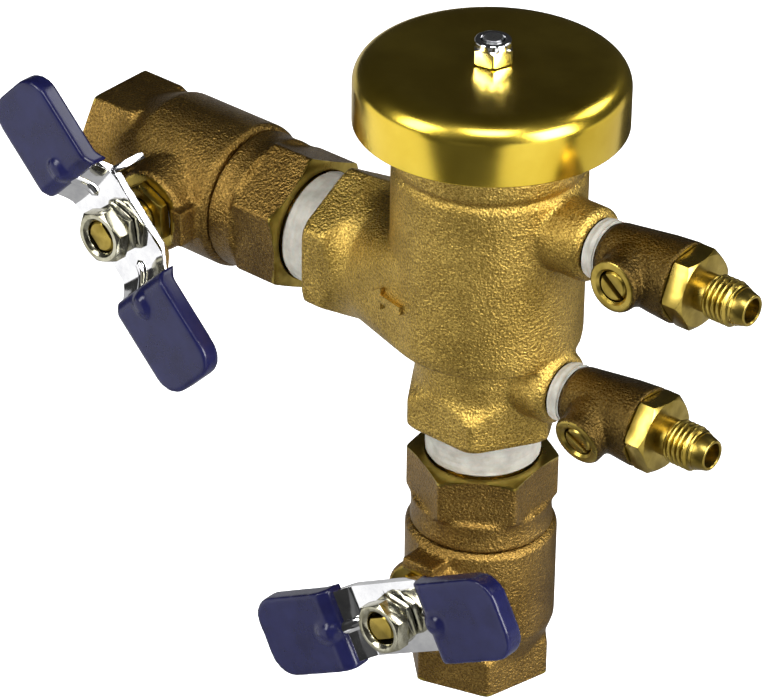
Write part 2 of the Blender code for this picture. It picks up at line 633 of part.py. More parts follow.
SIDE_VIEW = Matrix(((1, 0, 0, 0), (0, -1, 0, 0), (0, 0, -1, 0), (0, 0, 0, 1)))
PLAN_VIEW = Matrix(((1, 0, 0, 0), (0, 0, -1, 0), (0, 1, 0, 0), (0, 0, 0, 1)))


def handle(name, spindle, plate_s):
    """A bent steel plate with two winged ends, each dipped in vinyl."""
    half = HANDLE_WIDTH / 2 - GRIP_SKIN
    tip = HANDLE_HALF - GRIP_SKIN
    plan = {"half": 60 * MM, "hold": PLAN_VIEW, "parent": spindle}
    plate = extruded(name + "_handle", strip_outline(plate_s, 0, tip + 5 * MM, 0, 0),
                     15 * MM, SIDE_VIEW, material="chrome", parent=spindle)
    boolean(plate, extruded(name + "_handle_plan", rounded_rectangle(-tip, tip, half, 5 * MM),
                            **plan), "INTERSECT")
    join(plate, box(name + "_stop_tab", (11.2 * MM, -plate_s - 2 * MM, -10.2 * MM),
                    (13.0 * MM, -plate_s + TAB_REACH, -5.5 * MM), parent=spindle))
    slot = turned(name + "_rib_slot", [(0, 20 * MM), (1.7 * MM, 20 * MM), (1.7 * MM, 40 * MM),
                                       (0, 40 * MM)], 12, parent=spindle, along="-Y",
                  at=(15 * MM, 0, 0))
    cut(plate, slot)
    stem_hole = cylinder(name + "_handle_hole", STEM_R + GAP, 20 * MM, 40 * MM, SMALL_STEPS,
                         parent=spindle, along="-Y")
    flats = STEM_FLATS / 2 + GAP
    boolean(stem_hole, box(name + "_handle_hole_flats", (-9 * MM, -50 * MM, -flats),
                           (9 * MM, -10 * MM, flats), parent=spindle), "INTERSECT")
    cut(plate, stem_hole)

    for label, side in (("a", 1), ("b", -1)):
        grip = extruded(f"{name}_grip_{label}",
                        strip_outline(plate_s, GRIP_START, HANDLE_HALF + 5 * MM, GRIP_SKIN, side),
                        16 * MM, SIDE_VIEW, material="vinyl", parent=spindle)
        ends = sorted((side * GRIP_START, side * HANDLE_HALF))
        shape = rounded_rectangle(ends[0], ends[1], HANDLE_WIDTH / 2, 6 * MM)
        outer = extruded(f"{name}_grip_{label}_plan",
                         [(x, y) if abs(x) > 25 * MM else
                          (side * GRIP_START, math.copysign(HANDLE_WIDTH / 2, y))
                          for x, y in shape], **plan)
        boolean(grip, outer, "INTERSECT")
        soften(grip, 1.6 * MM, 1)
        pocket = extruded(f"{name}_grip_{label}_pocket",
                          strip_outline(plate_s, GRIP_START - 2 * MM, tip + 5 * MM, GAP, side),
                          half + 3 * MM, SIDE_VIEW, parent=spindle)
        cavity = rounded_rectangle(-tip - GAP, tip + GAP, half + GAP, 5 * MM)
        boolean(pocket, extruded(f"{name}_grip_{label}_cavity", cavity, **plan), "INTERSECT")
        cut(grip, pocket)


def handle_nuts(name, spindle, plate):
    """The jam nut against the plate and the lock nut over it."""
    jam = plate + PLATE_T + GAP
    for label, low, high, turn in (("jam_nut", jam, jam + JAM_NUT, 24),
                                   ("lock_nut", jam + JAM_NUT + GAP, plate + NUT_FRONT, 4)):
        nut = prism(f"{name}_handle_{label}", 6, 7.3 * MM, low - 2 * MM, high + 2 * MM,
                    material="chrome", parent=spindle, along="-Y", turn=turn)
        outline = [(0, low), (7.6 * MM, low), (7.6 * MM, high - 0.9 * MM),
                   (6.1 * MM, high), (0, high)]
        boolean(nut, turned(f"{name}_{label}_shape", outline, SMALL_STEPS, parent=spindle,
                            along="-Y"), "INTERSECT")
        cut(nut, cylinder(f"{name}_{label}_bore", STEM_R + GAP, low - 2 * MM, high + 2 * MM,
                          SMALL_STEPS, parent=spindle, along="-Y"))


def ball_valve(name, size, place, rotation):
    valve = frame(name + "_valve_frame", place, rotation)
    valve_end_cap(name + "_valve_end_cap", valve, size)
    valve_body(name + "_valve_body", valve, size)
    valve_seats(name, valve)
    valve_packing(name, valve)
    spindle = frame(name + "_spindle", (0, 0, 0), (0, -math.radians(size["handle"]), 0), valve)
    ball_and_stem(name, spindle, size["plate"])
    handle(name, spindle, size["plate"])
    handle_nuts(name, spindle, size["plate"])


# ---------------------------------------------------------------- test cocks

def flare_adaptor(name, parent, hex_turn):
    """Hexagon, external thread and flare nose; the tail runs back into the cock."""
    turn_r = COCK_HEX_R
    hexagon = prism(name, 6, turn_r, -7 * MM, 2 * MM, material="brass", parent=parent, along="X",
                    turn=hex_turn)
    shape = [(0, -5 * MM), (turn_r - 0.4 * MM, -5 * MM), (turn_r + 0.3 * MM, -4.6 * MM),
             (turn_r + 0.3 * MM, -0.9 * MM), (turn_r - 1.3 * MM, 0), (0, 0)]
    boolean(hexagon, turned(name + "_chamfer", shape, 20, parent=parent, along="X"), "INTERSECT")
    root = FLARE_THREAD_R - 0.8 * MM
    outline = [(0, -9 * MM), (5.2 * MM, -9 * MM), (5.2 * MM, -4.5 * MM), (root, -1 * MM),
               (root, FLARE_NECK)]
    for i in range(FLARE_CRESTS):
        start = FLARE_NECK + i * FLARE_PITCH
        outline += [(FLARE_THREAD_R, start + FLARE_PITCH / 2), (root, start + FLARE_PITCH)]
    end = FLARE_NECK + FLARE_CRESTS * FLARE_PITCH
    outline += [(root - 0.1 * MM, end + 0.8 * MM), (3.9 * MM, FLARE_LENGTH - 0.6 * MM),
                (3.5 * MM, FLARE_LENGTH), (0, FLARE_LENGTH)]
    join(hexagon, turned(name + "_thread", outline, 10, parent=parent, along="X"))
    cut(hexagon, turned(name + "_bore", [(0, -11 * MM), (2.2 * MM, -11 * MM),
                                         (2.2 * MM, FLARE_LENGTH - 6 * MM),
                                         (3.0 * MM, FLARE_LENGTH - 5 * MM),
                                         (3.0 * MM, FLARE_LENGTH + 2 * MM),
                                         (0, FLARE_LENGTH + 2 * MM)],
                        SMALL_STEPS, parent=parent, along="X"), "MANIFOLD")


def cock_body(name, parent):
    front = -5 * MM - GAP
    outline = [(0, -COCK_START - 11.5 * MM), (COCK_THREAD_R - 0.8 * MM, -COCK_START - 11.5 * MM),
               (COCK_THREAD_R, -COCK_START - 10.5 * MM), (COCK_THREAD_R, -COCK_START),
               (COCK_NECK_R - 0.6 * MM, -COCK_START), (COCK_NECK_R, -COCK_START + 0.8 * MM),
               (COCK_R - 0.5 * MM, -12 * MM), (COCK_R, front), (0, front)]
    body = turned(name, outline, 20, material="cast_bronze", parent=parent, along="X")
    boss = [(0, 1 * MM), (COCK_BOSS_R + 1.6 * MM, 1 * MM), (COCK_BOSS_R + 0.9 * MM, 6 * MM),
            (COCK_BOSS_R, 9.5 * MM),
            (COCK_BOSS_R, COCK_BOSS_S - 0.6 * MM), (COCK_BOSS_R - 0.6 * MM, COCK_BOSS_S),
            (0, COCK_BOSS_S)]
    join(body, turned(name + "_boss", boss, 20, parent=parent, along="-Y",
                      at=(-COCK_STEM_X, 0, 0)))
    waterway = [(0, -COCK_START - 13 * MM), (2.5 * MM, -COCK_START - 13 * MM),
                (2.5 * MM, -COCK_STEM_X - 6 * MM), (5.8 * MM, -COCK_STEM_X - 5.4 * MM),
                (5.8 * MM, front + 2 * MM), (0, front + 2 * MM)]
    cut(body, turned(name + "_waterway", waterway, SMALL_STEPS, parent=parent, along="X"))
    cut(body, cylinder(name + "_stem_hole", 3.7 * MM + GAP, 2 * MM, 16 * MM, SMALL_STEPS,
                       parent=parent, along="-Y", at=(-COCK_STEM_X, 0, 0)))


def cock_stem(name, parent, slot_deg):
    """The ball and the screwdriver-slotted stem that turns it; slot along the frame's X."""
    spindle = frame(name + "_spindle", (-COCK_STEM_X, 0, 0), (0, -math.radians(slot_deg), 0),
                    parent)
    ball = sphere(name + "_ball", 4.8 * MM, material="chrome", parent=spindle)
    cut(ball, cylinder(name + "_ball_bore", 2.2 * MM, -8 * MM, 8 * MM, SMALL_STEPS,
                       parent=spindle, along="X"))
    cut(ball, box(name + "_ball_slot", (-3 * MM, -7 * MM, -1 * MM), (3 * MM, -3.6 * MM, 1 * MM),
                  parent=spindle))
    top = COCK_BOSS_S - 0.3 * MM
    stem = cylinder(name + "_stem", 3.7 * MM, 5.1 * MM, top, SMALL_STEPS, material="brass",
                    parent=spindle, along="-Y")
    join(stem, box(name + "_tang", (-2.4 * MM, -6 * MM, -0.7 * MM),
                   (2.4 * MM, -4.0 * MM, 0.7 * MM), parent=spindle))
    cut(stem, box(name + "_slot", (-5 * MM, -15 * MM, -0.75 * MM),
                  (5 * MM, -top + 1.8 * MM, 0.75 * MM), parent=spindle))


def test_cock(name, cock):
    base = frame(name + "_frame", (cock["x"], 0, cock["z"]), (math.radians(cock["roll"]), 0, 0))
    cock_body(name, base)
    cock_stem(name, base, cock["slot"])
    front = -COCK_STEM_X + 4.9 * MM
    ring(name + "_ball_seat", 2.4 * MM, 5.5 * MM, front, front + 3.2 * MM, SMALL_STEPS,
         material="ptfe", parent=base, along="X")
    flare_adaptor(name + "_flare_adaptor", base, cock["hex_turn"])
    boss_face = -COCK_BOSS_REACH
    ring(name + "_tape", COCK_THREAD_R + 0.2 * MM, 7.5 * MM, boss_face + GAP, -COCK_START - GAP,
         material="tape", parent=base, along="X")


clear_scene()
PARTS = new_collection("backflow_preventer")
CUTTERS = new_collection("cutters")
LOOKS = {name: make_material(name) for name in MATERIALS}

body_casting()
bonnet()
bonnet_seal()
canopy()
canopy_fixings()
air_float(frame("float_frame", (0, 0, 128 * MM)))
check_guide()
check_poppet(frame("check_frame", (0, 0, CHAMBER_FLOOR + 5.6 * MM)))
check_spring()
nipple("inlet", (0, 0, 0), "Z", VALVE_FACE - NIPPLE_ENTRY)
nipple("outlet", (0, 0, OUTLET_Z), "-X", OUTLET_HEX_X - NIPPLE_ENTRY)
ball_valve("inlet", INLET_VALVE, (0, 0, INLET_VALVE["tail"]), (0, 0, 0))
ball_valve("outlet", OUTLET_VALVE, (-OUTLET_FACE - OUTLET_VALVE["top"], 0, OUTLET_Z),
           (0, math.pi / 2, 0))
test_cock("upper_test_cock", UPPER_COCK)
test_cock("lower_test_cock", LOWER_COCK)
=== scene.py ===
"""Looks for the pressure vacuum breaker: cast bronze, spun brass canopy, chrome and vinyl handles.

Lengths are in millimetres, and meshes are scaled to metres as they are made. Only the studio's
lamps, cards and camera, and values whose name ends in _m, are in metres. Angles are in degrees.
"""
import json
import math

import bmesh
import bpy
from mathutils import Matrix, Vector, noise


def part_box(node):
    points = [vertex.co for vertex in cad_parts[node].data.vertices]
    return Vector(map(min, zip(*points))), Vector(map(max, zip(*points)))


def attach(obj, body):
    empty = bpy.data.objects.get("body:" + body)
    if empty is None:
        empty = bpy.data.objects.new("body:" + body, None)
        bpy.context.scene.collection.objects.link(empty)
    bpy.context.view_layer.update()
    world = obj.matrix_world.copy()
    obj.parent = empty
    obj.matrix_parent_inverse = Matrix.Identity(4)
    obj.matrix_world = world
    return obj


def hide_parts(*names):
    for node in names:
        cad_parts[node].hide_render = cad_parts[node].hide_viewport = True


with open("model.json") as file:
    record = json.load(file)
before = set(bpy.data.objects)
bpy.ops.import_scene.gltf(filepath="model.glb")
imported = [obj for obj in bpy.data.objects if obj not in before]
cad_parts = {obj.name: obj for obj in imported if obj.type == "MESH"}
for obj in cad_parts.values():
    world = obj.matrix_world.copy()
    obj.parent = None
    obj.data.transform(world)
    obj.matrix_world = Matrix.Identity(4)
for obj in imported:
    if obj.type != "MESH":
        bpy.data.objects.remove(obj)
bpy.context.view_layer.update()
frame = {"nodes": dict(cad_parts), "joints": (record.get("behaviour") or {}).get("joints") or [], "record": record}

MM = 0.001
JOINTS = {joint["name"]: joint for joint in frame["joints"]}
SCENE = bpy.context.scene
OUTLET_Z = JOINTS["outlet_handle_turn"]["pos_m"][2] / MM
GAP = 0.3                  # between pieces that touch in the real object
OVER = 2                   # how far a cutter reaches past the face that it opens

NEAR = 0.08                # a face this near a cut plane is part of the cut

# Threaded sockets of the body and the valves
SOCKET_R = 13.63           # bore at the thread's crests
SOCKET_MOUTH = 0.9         # how much wider the chamfered mouth is
SOCKET_DEPTH = 11.5
VALVE_SOCKET_DEPTH = 11.8  # the valve bodies' own, at their outer ends
PIPE_PITCH = 1.81
THREAD_DEPTH = 0.55
RUN_OUT = 1.0              # length of the chamfer at the mouth and of the taper at the end

# Thread tape: inner and outer radius
NIPPLE_TAPE = (13.6, 14.5)
COCK_TAPE = (7.1, 7.7)

# Body casting
BODY_HEX_R = 20.2          # wrench hexagon, across corners, halved
NECK_R = 17.2
CHAMBER_DROP = 9.6         # from the outlet's axis down to the chamber's foot
CHAMBER_BORE_R = 19.5
THROAT_R = 10.5
FOOT_R = 3.5
GROOVE_DOWN = 7            # from the casting's top to the turned groove
GROOVE_DEPTH = 0.9
FAIRING_TILT = -12.5       # the fairing's side, from the outlet's direction
PORT_R = 2.5               # waterway through a boss and its test cock
PORT_THREAD_R = 7.16

# Canopy and its nut
CANOPY_SHEET = 1.2
CANOPY_CORNER = 5.4
CANOPY_CROWN = 0.35        # how much lower the top is at its edge than in its middle
CANOPY_HOLE_R = 2.9
CANOPY_NUT_R = 5.1         # across corners, halved

# Ball valves
HEX_R = 19.05              # wrench hexagon, across corners, halved
HEX_TURNS = {"inlet": (34.6, 17.0), "outlet": (4.5, 31.0)}    # end cap's hexagon, body's hexagon
BARREL_R = 19.0
WATERWAY_R = 9.4
BALL_ROOM = 10.9           # half the length of the room for the ball and its seats
BOSS_REACH = 23.4          # from the valve's axis out to the end of the stem's boss
CAP_CHAMFER_R = 16.4       # where the chamfer of the end cap's hexagon starts
STEM_R = 4.0
STEM_FLATS = 5.6           # across the flats
GLAND_NUT = (23.7, 26.6)   # out along the stem
NUT_R = 7.3
NUT_FRONT = 9.55           # from the back of the handle plate to the front of the lock nut
JAM_NUT = 2.2

# Handles
PLATE_T = 2.5
WING_STEP = 5.3            # how far the strip's bend takes its wings out
STEP_START = 11.0          # where the bend starts and ends, along the strip
STEP_END = 19.0
HANDLE_HALF = 43.0
HANDLE_HALF_WIDTH = 10.8
GRIP_SKIN = 1.3
GRIP_START = 15.5
RIB_START = 9.4
RIB_END = 22.0
RIB_RISE = 1.5
RIB_HALF_WIDTH = 1.8
STOP_TAB_X = (11.2, 13)
STOP_TAB_Z = (-10.2, -5.5)
STOP_TAB_REACH = 8.5       # from the plate's back towards the casting
STOP_LUGS = (((-4.5, -24.9, 9), (5, -8, 12.6)), ((-5, -23.9, -13), (6, -8, -9.5)))

# Test cocks
COCK_LENGTH = 27.0
COCK_STEM_X = 17.2
COCK_HEX_R = 10.1
FLARE_LENGTH = 13.7
FLARE_CREST_R = 5.55
FLARE_ROOT_R = 4.75
FLARE_PITCH = 1.4
FLARE_THREAD = (2.6, 9.9)  # where the thread starts and ends

# The studio, in metres
CENTRE = Vector((-0.012, -0.0247, 0.0968))
CANOPY = Vector((0, 0, 0.16))
VIEW_AZIMUTH, VIEW_ELEVATION, VIEW_ROLL = 40.397, 31.186, 0.649
VIEW_DISTANCE = 1.04
LENS = 203.7               # millimetres, on a sensor 36 wide
SENSOR = 36


# ---------------------------------------------------------------- mesh helpers

def box_mm(node):
    low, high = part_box(node)
    return low / MM, high / MM


def solid(name, shape, place=Matrix()):
    """A bmesh in millimetres as an object in metres; place holds its frame."""
    bmesh.ops.recalc_face_normals(shape, faces=shape.faces)
    mesh = bpy.data.meshes.new(name)
    shape.to_mesh(mesh)
    shape.free()
    mesh.transform(place @ Matrix.Scale(MM, 4))
    thing = bpy.data.objects.new(name, mesh)
    SCENE.collection.objects.link(thing)
    return thing


def at(x, y, z):
    return Matrix.Translation((x * MM, y * MM, z * MM))


def turn(degrees, axis):
    return Matrix.Rotation(math.radians(degrees), 4, axis)


OUT = turn(90, "X")       # maps a piece's Z to its frame's -Y, out along a stem
SIDE = turn(90, "Y")      # maps a piece's Z to its frame's X


def arc(r, z, radius, start, end, count=8):
    """Points of an arc about (r, z); angles run from +r towards +z."""
    steps = [math.radians(start + (end - start) * i / count) for i in range(count + 1)]
    return [(r + radius * math.cos(a), z + radius * math.sin(a)) for a in steps]


def polar(radius, i, steps, z):
    """The point after i of steps equal parts of a turn about Z."""
    angle = 2 * math.pi * i / steps
    return radius * math.cos(angle), radius * math.sin(angle), z


def bridge(shape, rings, steps):
    """Faces from each ring of points to the next; a ring of one point makes a fan."""
    for a, b in zip(rings, rings[1:]):
        for i in range(steps):
            j = (i + 1) % steps
            corners = [a[i % len(a)], a[j % len(a)], b[j % len(b)], b[i % len(b)]]
            corners = list(dict.fromkeys(corners))
            if len(corners) > 2:
                shape.faces.new(corners)


def lathe(name, profile, place=Matrix(), steps=96, closed=False):
    """Revolves an (r, z) profile; it ends on the axis, or is closed."""
    shape = bmesh.new()
    rings = []
    for r, z in profile:
        count = 1 if r == 0 else steps
        rings.append([shape.verts.new(polar(r, i, steps, z)) for i in range(count)])
    bridge(shape, rings + rings[:1] if closed else rings, steps)
    return solid(name, shape, place)


def prism(name, points, low, high, place=Matrix()):
    """An outline in the XY plane, extruded from low to high along Z."""
    shape = bmesh.new()
    floor = [shape.verts.new((x, y, low)) for x, y in points]
    roof = [shape.verts.new((x, y, high)) for x, y in points]
    shape.faces.new(floor)
    shape.faces.new(roof)
    bridge(shape, [floor, roof], len(points))
    return solid(name, shape, place)


def hexagon(radius, degrees):
    corners = [math.radians(degrees + 60 * i) for i in range(6)]
    return [(radius * math.cos(a), radius * math.sin(a)) for a in corners]


def rounded_rectangle(x0, x1, half, corner):
    points = []
    for cx, cy, start in ((x1 - corner, half - corner, 0), (x0 + corner, half - corner, 90),
                          (x0 + corner, corner - half, 180), (x1 - corner, corner - half, 270)):
        points += arc(cx, cy, corner, start, start + 90)
    return points


def block(name, low, high, place):
    points = [(low[0], low[1]), (high[0], low[1]), (high[0], high[1]), (low[0], high[1])]
    return prism(name, points, low[2], high[2], place)


def bake(thing):
    graph = bpy.context.evaluated_depsgraph_get()
    mesh = bpy.data.meshes.new_from_object(thing.evaluated_get(graph))
    thing.modifiers.clear()
    thing.data = mesh


def combine(target, tool, operation):
    step = target.modifiers.new("combine", "BOOLEAN")
    step.operation = operation
    step.object = tool
    step.solver = "MANIFOLD"
    bake(target)
    bpy.data.objects.remove(tool)
    return target


def bevel(thing, width, segments, angle):
    step = thing.modifiers.new("edges", "BEVEL")
    step.width = width * MM
    step.segments = segments
    step.limit_method = "ANGLE"
    step.angle_limit = math.radians(angle)
    bake(thing)


def sand_cast(thing, voxel, rounds):
    """Remeshes evenly and smooths, so that joins turn into fillets and edges go soft."""
    remesh = thing.modifiers.new("even", "REMESH")
    remesh.mode = "VOXEL"
    remesh.voxel_size = voxel * MM
    smooth = thing.modifiers.new("soft", "SMOOTH")
    smooth.factor = 0.5
    smooth.iterations = rounds
    bake(thing)


def finish(thing, body, looks, replaces, machined=None, sharp=30):
    """Shading, materials, body and CAD node of a piece; machined tells a cut face by its centre."""
    thing.data.polygons.foreach_set("use_smooth", [True] * len(thing.data.polygons))
    if sharp:
        thing.data.set_sharp_from_angle(angle=math.radians(sharp))
    thing.data.materials.clear()
    thing.data.polygons.foreach_set("material_index", [0] * len(thing.data.polygons))
    for look in looks:
        thing.data.materials.append(look)
    if machined:
        for face in thing.data.polygons:
            if machined(face.center / MM):
                face.material_index = 1
    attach(thing, body)
    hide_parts(*replaces)


# ---------------------------------------------------------------- material helpers

class Look:
    """A Principled material and short calls for the nodes that feed it."""

    def __init__(self, name, colour, metallic, roughness):
        self.material = bpy.data.materials.new(name)
        self.material.use_nodes = True
        self.tree = self.material.node_tree
        self.shader = self.tree.nodes["Principled BSDF"]
        self.shader.inputs["Base Color"].default_value = (*colour, 1)
        self.shader.inputs["Metallic"].default_value = metallic
        self.shader.inputs["Roughness"].default_value = roughness
        place = self.tree.nodes.new("ShaderNodeTexCoord")
        self.place = place.outputs["Object"]

    def node(self, kind, **inputs):
        node = self.tree.nodes.new(kind)
        for name, value in inputs.items():
            self.feed(node.inputs[name.replace("_", " ")], value)
        return node

    def feed(self, socket, value):
        if isinstance(value, bpy.types.NodeSocket):
            self.tree.links.new(value, socket)
        else:
            socket.default_value = value

    def grain(self, scale, detail, roughness=0.6):
        node = self.node("ShaderNodeTexNoise", Vector=self.place, Scale=scale, Detail=detail,
                         Roughness=roughness)
        return node.outputs["Fac"]

    def streaks(self, stretch, scale):
        mapping = self.node("ShaderNodeMapping", Vector=self.place, Scale=stretch)
        node = self.node("ShaderNodeTexNoise", Vector=mapping.outputs["Vector"], Scale=scale, Detail=3)
        return node.outputs["Fac"]

    def cells(self, scale):
        node = self.node("ShaderNodeTexVoronoi", Vector=self.place, Scale=scale)
        return node.outputs["Distance"]

    def ramp(self, value, *stops):
        node = self.node("ShaderNodeValToRGB", Fac=value)
        elements = node.color_ramp.elements
        while len(elements) < len(stops):
            elements.new(0.5)
        for element, (position, colour) in zip(elements, stops):
            element.position = position
            element.color = (*colour, 1)
        return node.outputs["Color"]

    def remap(self, value, low, high, start=0.0, end=1.0):
        node = self.tree.nodes.new("ShaderNodeMapRange")
        self.feed(node.inputs["Value"], value)
        for name, number in (("From Min", start), ("From Max", end), ("To Min", low), ("To Max", high)):
            node.inputs[name].default_value = number
        return node.outputs["Result"]

    def multiply(self, a, b, amount):
        """Colour a darkened by colour b; amount is b's share."""
        node = self.tree.nodes.new("ShaderNodeMix")
        node.data_type = "RGBA"
        node.blend_type = "MULTIPLY"
        factor, colour_a, colour_b = node.inputs[0], node.inputs[6], node.inputs[7]
        self.feed(factor, amount)
        self.feed(colour_a, a)
        self.feed(colour_b, b)
        return node.outputs[2]

    def bump(self, *layers):
        """Layers are (height, distance in mm, strength)."""
        normal = None
        for height, distance, strength in layers:
            node = self.tree.nodes.new("ShaderNodeBump")
            node.inputs["Distance"].default_value = distance * MM
            node.inputs["Strength"].default_value = strength
            self.feed(node.inputs["Height"], height)
            if normal is not None:
                self.feed(node.inputs["Normal"], normal)
            normal = node.outputs["Normal"]
        self.feed(self.shader.inputs["Normal"], normal)

    def colour(self, value):
        self.feed(self.shader.inputs["Base Color"], value)

    def rough(self, value):
        self.feed(self.shader.inputs["Roughness"], value)


def cast_bronze(name, light, dark):
    """Sand-cast bronze: grain with painted glints, broad tarnish and small pits."""
    look = Look(name, light, metallic=1.0, roughness=0.45)
    broad = look.grain(60, 3)
    grit = look.grain(2100, 4, 0.65)
    sand = look.cells(1500)
    tarnish = look.ramp(broad, (0.30, dark), (0.70, light))
    # The glint colour, brighter than white, is a painted highlight: bright sparkle specks in the base colour.
    pit, grain, glint = (0.36, 0.29, 0.20), (0.78, 0.76, 0.70), (1.5, 1.5, 1.45)
    specks_and_glints = look.ramp(grit, (0.34, pit), (0.46, grain), (0.60, glint))
    look.colour(look.multiply(tarnish, specks_and_glints, 0.8))
    look.rough(look.remap(grit, 0.42, 0.30, 0.3, 0.7))
    look.bump((look.grain(520, 2), 0.35, 0.35), (sand, 0.25, 0.7), (grit, 0.25, 0.9))
    return look.material


def machined_brass():
    """Cut brass with fine tool marks and a light stain."""
    look = Look("machined_brass", (0.46, 0.34, 0.07), metallic=1.0, roughness=0.28)
    marks = look.grain(2600, 2)
    stain = look.grain(160, 3)
    look.colour(look.ramp(stain, (0.35, (0.26, 0.185, 0.030)), (0.62, (0.44, 0.325, 0.070))))
    look.rough(look.remap(stain, 0.36, 0.22))
    look.bump((marks, 0.03, 0.35))
    return look.material


def spun_brass():
    """Polished canopy brass with faint spinning marks and a few smudges."""
    look = Look("spun_brass", (0.82, 0.60, 0.07), metallic=1.0, roughness=0.22)
    smudge = look.grain(45, 4)
    fine = look.grain(3000, 2)
    look.colour(look.ramp(smudge, (0.30, (0.72, 0.50, 0.045)), (0.65, (0.84, 0.62, 0.08))))
    look.rough(look.remap(smudge, 0.20, 0.26, 0.35, 0.7))
    look.bump((look.streaks((1, 1, 40), 60), 0.02, 0.10), (fine, 0.01, 0.15))
    return look.material


def chrome():
    look = Look("chrome", (0.86, 0.86, 0.87), metallic=1.0, roughness=0.07)
    haze = look.grain(140, 4)
    look.colour(look.ramp(haze, (0.35, (0.72, 0.72, 0.74)), (0.65, (0.93, 0.93, 0.93))))
    look.rough(look.remap(haze, 0.05, 0.16, 0.4, 0.75))
    look.bump((look.grain(420, 2), 0.03, 0.2), (look.grain(2500, 2), 0.01, 0.2))
    return look.material


def nickel():
    """The warmer plating of the handle nuts."""
    look = Look("nickel", (0.42, 0.40, 0.28), metallic=1.0, roughness=0.2)
    haze = look.grain(260, 4)
    look.colour(look.ramp(haze, (0.35, (0.32, 0.30, 0.20)), (0.62, (0.54, 0.52, 0.40))))
    look.rough(look.remap(haze, 0.12, 0.28))
    look.bump((look.grain(1700, 3), 0.02, 0.3))
    return look.material


def blue_vinyl():
    """Dipped vinyl, glossy with a soft orange-peel."""
    look = Look("blue_vinyl", (0.006, 0.007, 0.045), metallic=0.0, roughness=0.3)
    cloud = look.grain(120, 4)
    look.colour(look.ramp(cloud, (0.3, (0.004, 0.004, 0.026)), (0.7, (0.008, 0.009, 0.046))))
    look.rough(look.remap(look.grain(400, 3), 0.18, 0.30))
    look.shader.inputs["Specular IOR Level"].default_value = 0.26
    look.shader.inputs["Coat Weight"].default_value = 0.08
    look.shader.inputs["Coat Roughness"].default_value = 0.2
    look.bump((look.grain(180, 2), 0.10, 0.25), (look.grain(1400, 2), 0.02, 0.2))
    return look.material


def thread_tape():
    look = Look("thread_tape", (0.82, 0.81, 0.79), metallic=0.0, roughness=0.55)
    layers = look.streaks((1, 1, 1), 600)
    look.colour(look.ramp(look.grain(240, 4), (0.3, (0.25, 0.235, 0.20)), (0.65, (0.37, 0.355, 0.31))))
    look.shader.inputs["Subsurface Weight"].default_value = 0.15
    look.shader.inputs["Subsurface Scale"].default_value = 0.5 * MM
    look.bump((layers, 0.12, 0.4), (look.grain(2000, 3), 0.03, 0.3))
    return look.material


def plain_steel():
    look = Look("steel", (0.55, 0.56, 0.57), metallic=1.0, roughness=0.3)
    look.colour(look.ramp(look.grain(500, 3), (0.3, (0.45, 0.45, 0.46)), (0.7, (0.62, 0.63, 0.64))))
    look.rough(look.remap(look.grain(900, 3), 0.22, 0.38))
    look.bump((look.grain(2400, 2), 0.02, 0.25))
    return look.material


def black_rubber():
    look = Look("rubber", (0.025, 0.025, 0.025), metallic=0.0, roughness=0.7)
    look.colour(look.ramp(look.grain(400, 4), (0.3, (0.018, 0.018, 0.018)), (0.7, (0.045, 0.044, 0.043))))
    look.rough(look.remap(look.grain(700, 3), 0.58, 0.8))
    look.bump((look.grain(1500, 4), 0.04, 0.3))
    return look.material


def moulded(name, light, dark, roughness):
    """Off-white moulded plastic and seat rings."""
    look = Look(name, light, metallic=0.0, roughness=roughness)
    look.colour(look.ramp(look.grain(90, 3), (0.3, dark), (0.7, light)))
    look.rough(look.remap(look.grain(600, 3), roughness - 0.08, roughness + 0.08))
    look.bump((look.grain(1200, 3), 0.02, 0.25))
    return look.material


BODY_BRONZE = cast_bronze("body_bronze", (0.56, 0.385, 0.095), (0.33, 0.22, 0.048))
VALVE_BRONZE = cast_bronze("valve_bronze", (0.29, 0.18, 0.047), (0.15, 0.088, 0.021))
COCK_BRONZE = cast_bronze("cock_bronze", (0.12, 0.078, 0.022), (0.06, 0.037, 0.010))
BRASS = machined_brass()
CANOPY_BRASS = spun_brass()
CHROME = chrome()
NICKEL = nickel()
VINYL = blue_vinyl()
TAPE = thread_tape()
STEEL = plain_steel()
RUBBER = black_rubber()
PTFE = moulded("white_ptfe", (0.88, 0.88, 0.86), (0.78, 0.78, 0.75), 0.45)
PLASTIC = moulded("plastic", (0.76, 0.75, 0.70), (0.64, 0.62, 0.56), 0.5)
SLOT_LOOKS = {"cast_bronze": BODY_BRONZE, "canopy_brass": CANOPY_BRASS, "machined_brass": BRASS,
              "chrome": CHROME, "steel": STEEL, "blue_vinyl": VINYL, "ptfe_tape": TAPE,
              "rubber": RUBBER, "white_ptfe": PTFE, "plastic": PLASTIC}


def carried_over_nodes():
    """Every CAD node gets the material of its slot; replaced ones are hidden later."""
    for subpart in frame["record"]["subparts"]:
        node = frame["nodes"][subpart["node"]]
        node.data.materials.clear()
        node.data.materials.append(SLOT_LOOKS[subpart["material_slot"]])


# ---------------------------------------------------------------- body casting

def pipe_socket(face, inward, depth, end_r):
    """The bore profile of a threaded socket: open at z face, it runs inward (1 or -1) into a bore."""
    points = [(0, -OVER), (SOCKET_R + SOCKET_MOUTH, -OVER), (SOCKET_R + SOCKET_MOUTH, 0), (SOCKET_R, RUN_OUT)]
    z = RUN_OUT
    while z + PIPE_PITCH < depth:
        points += [(SOCKET_R + THREAD_DEPTH, z + PIPE_PITCH / 2), (SOCKET_R, z + PIPE_PITCH)]
        z += PIPE_PITCH
    points.append((end_r, depth + RUN_OUT))
    return [(r, face + inward * z) for r, z in points]


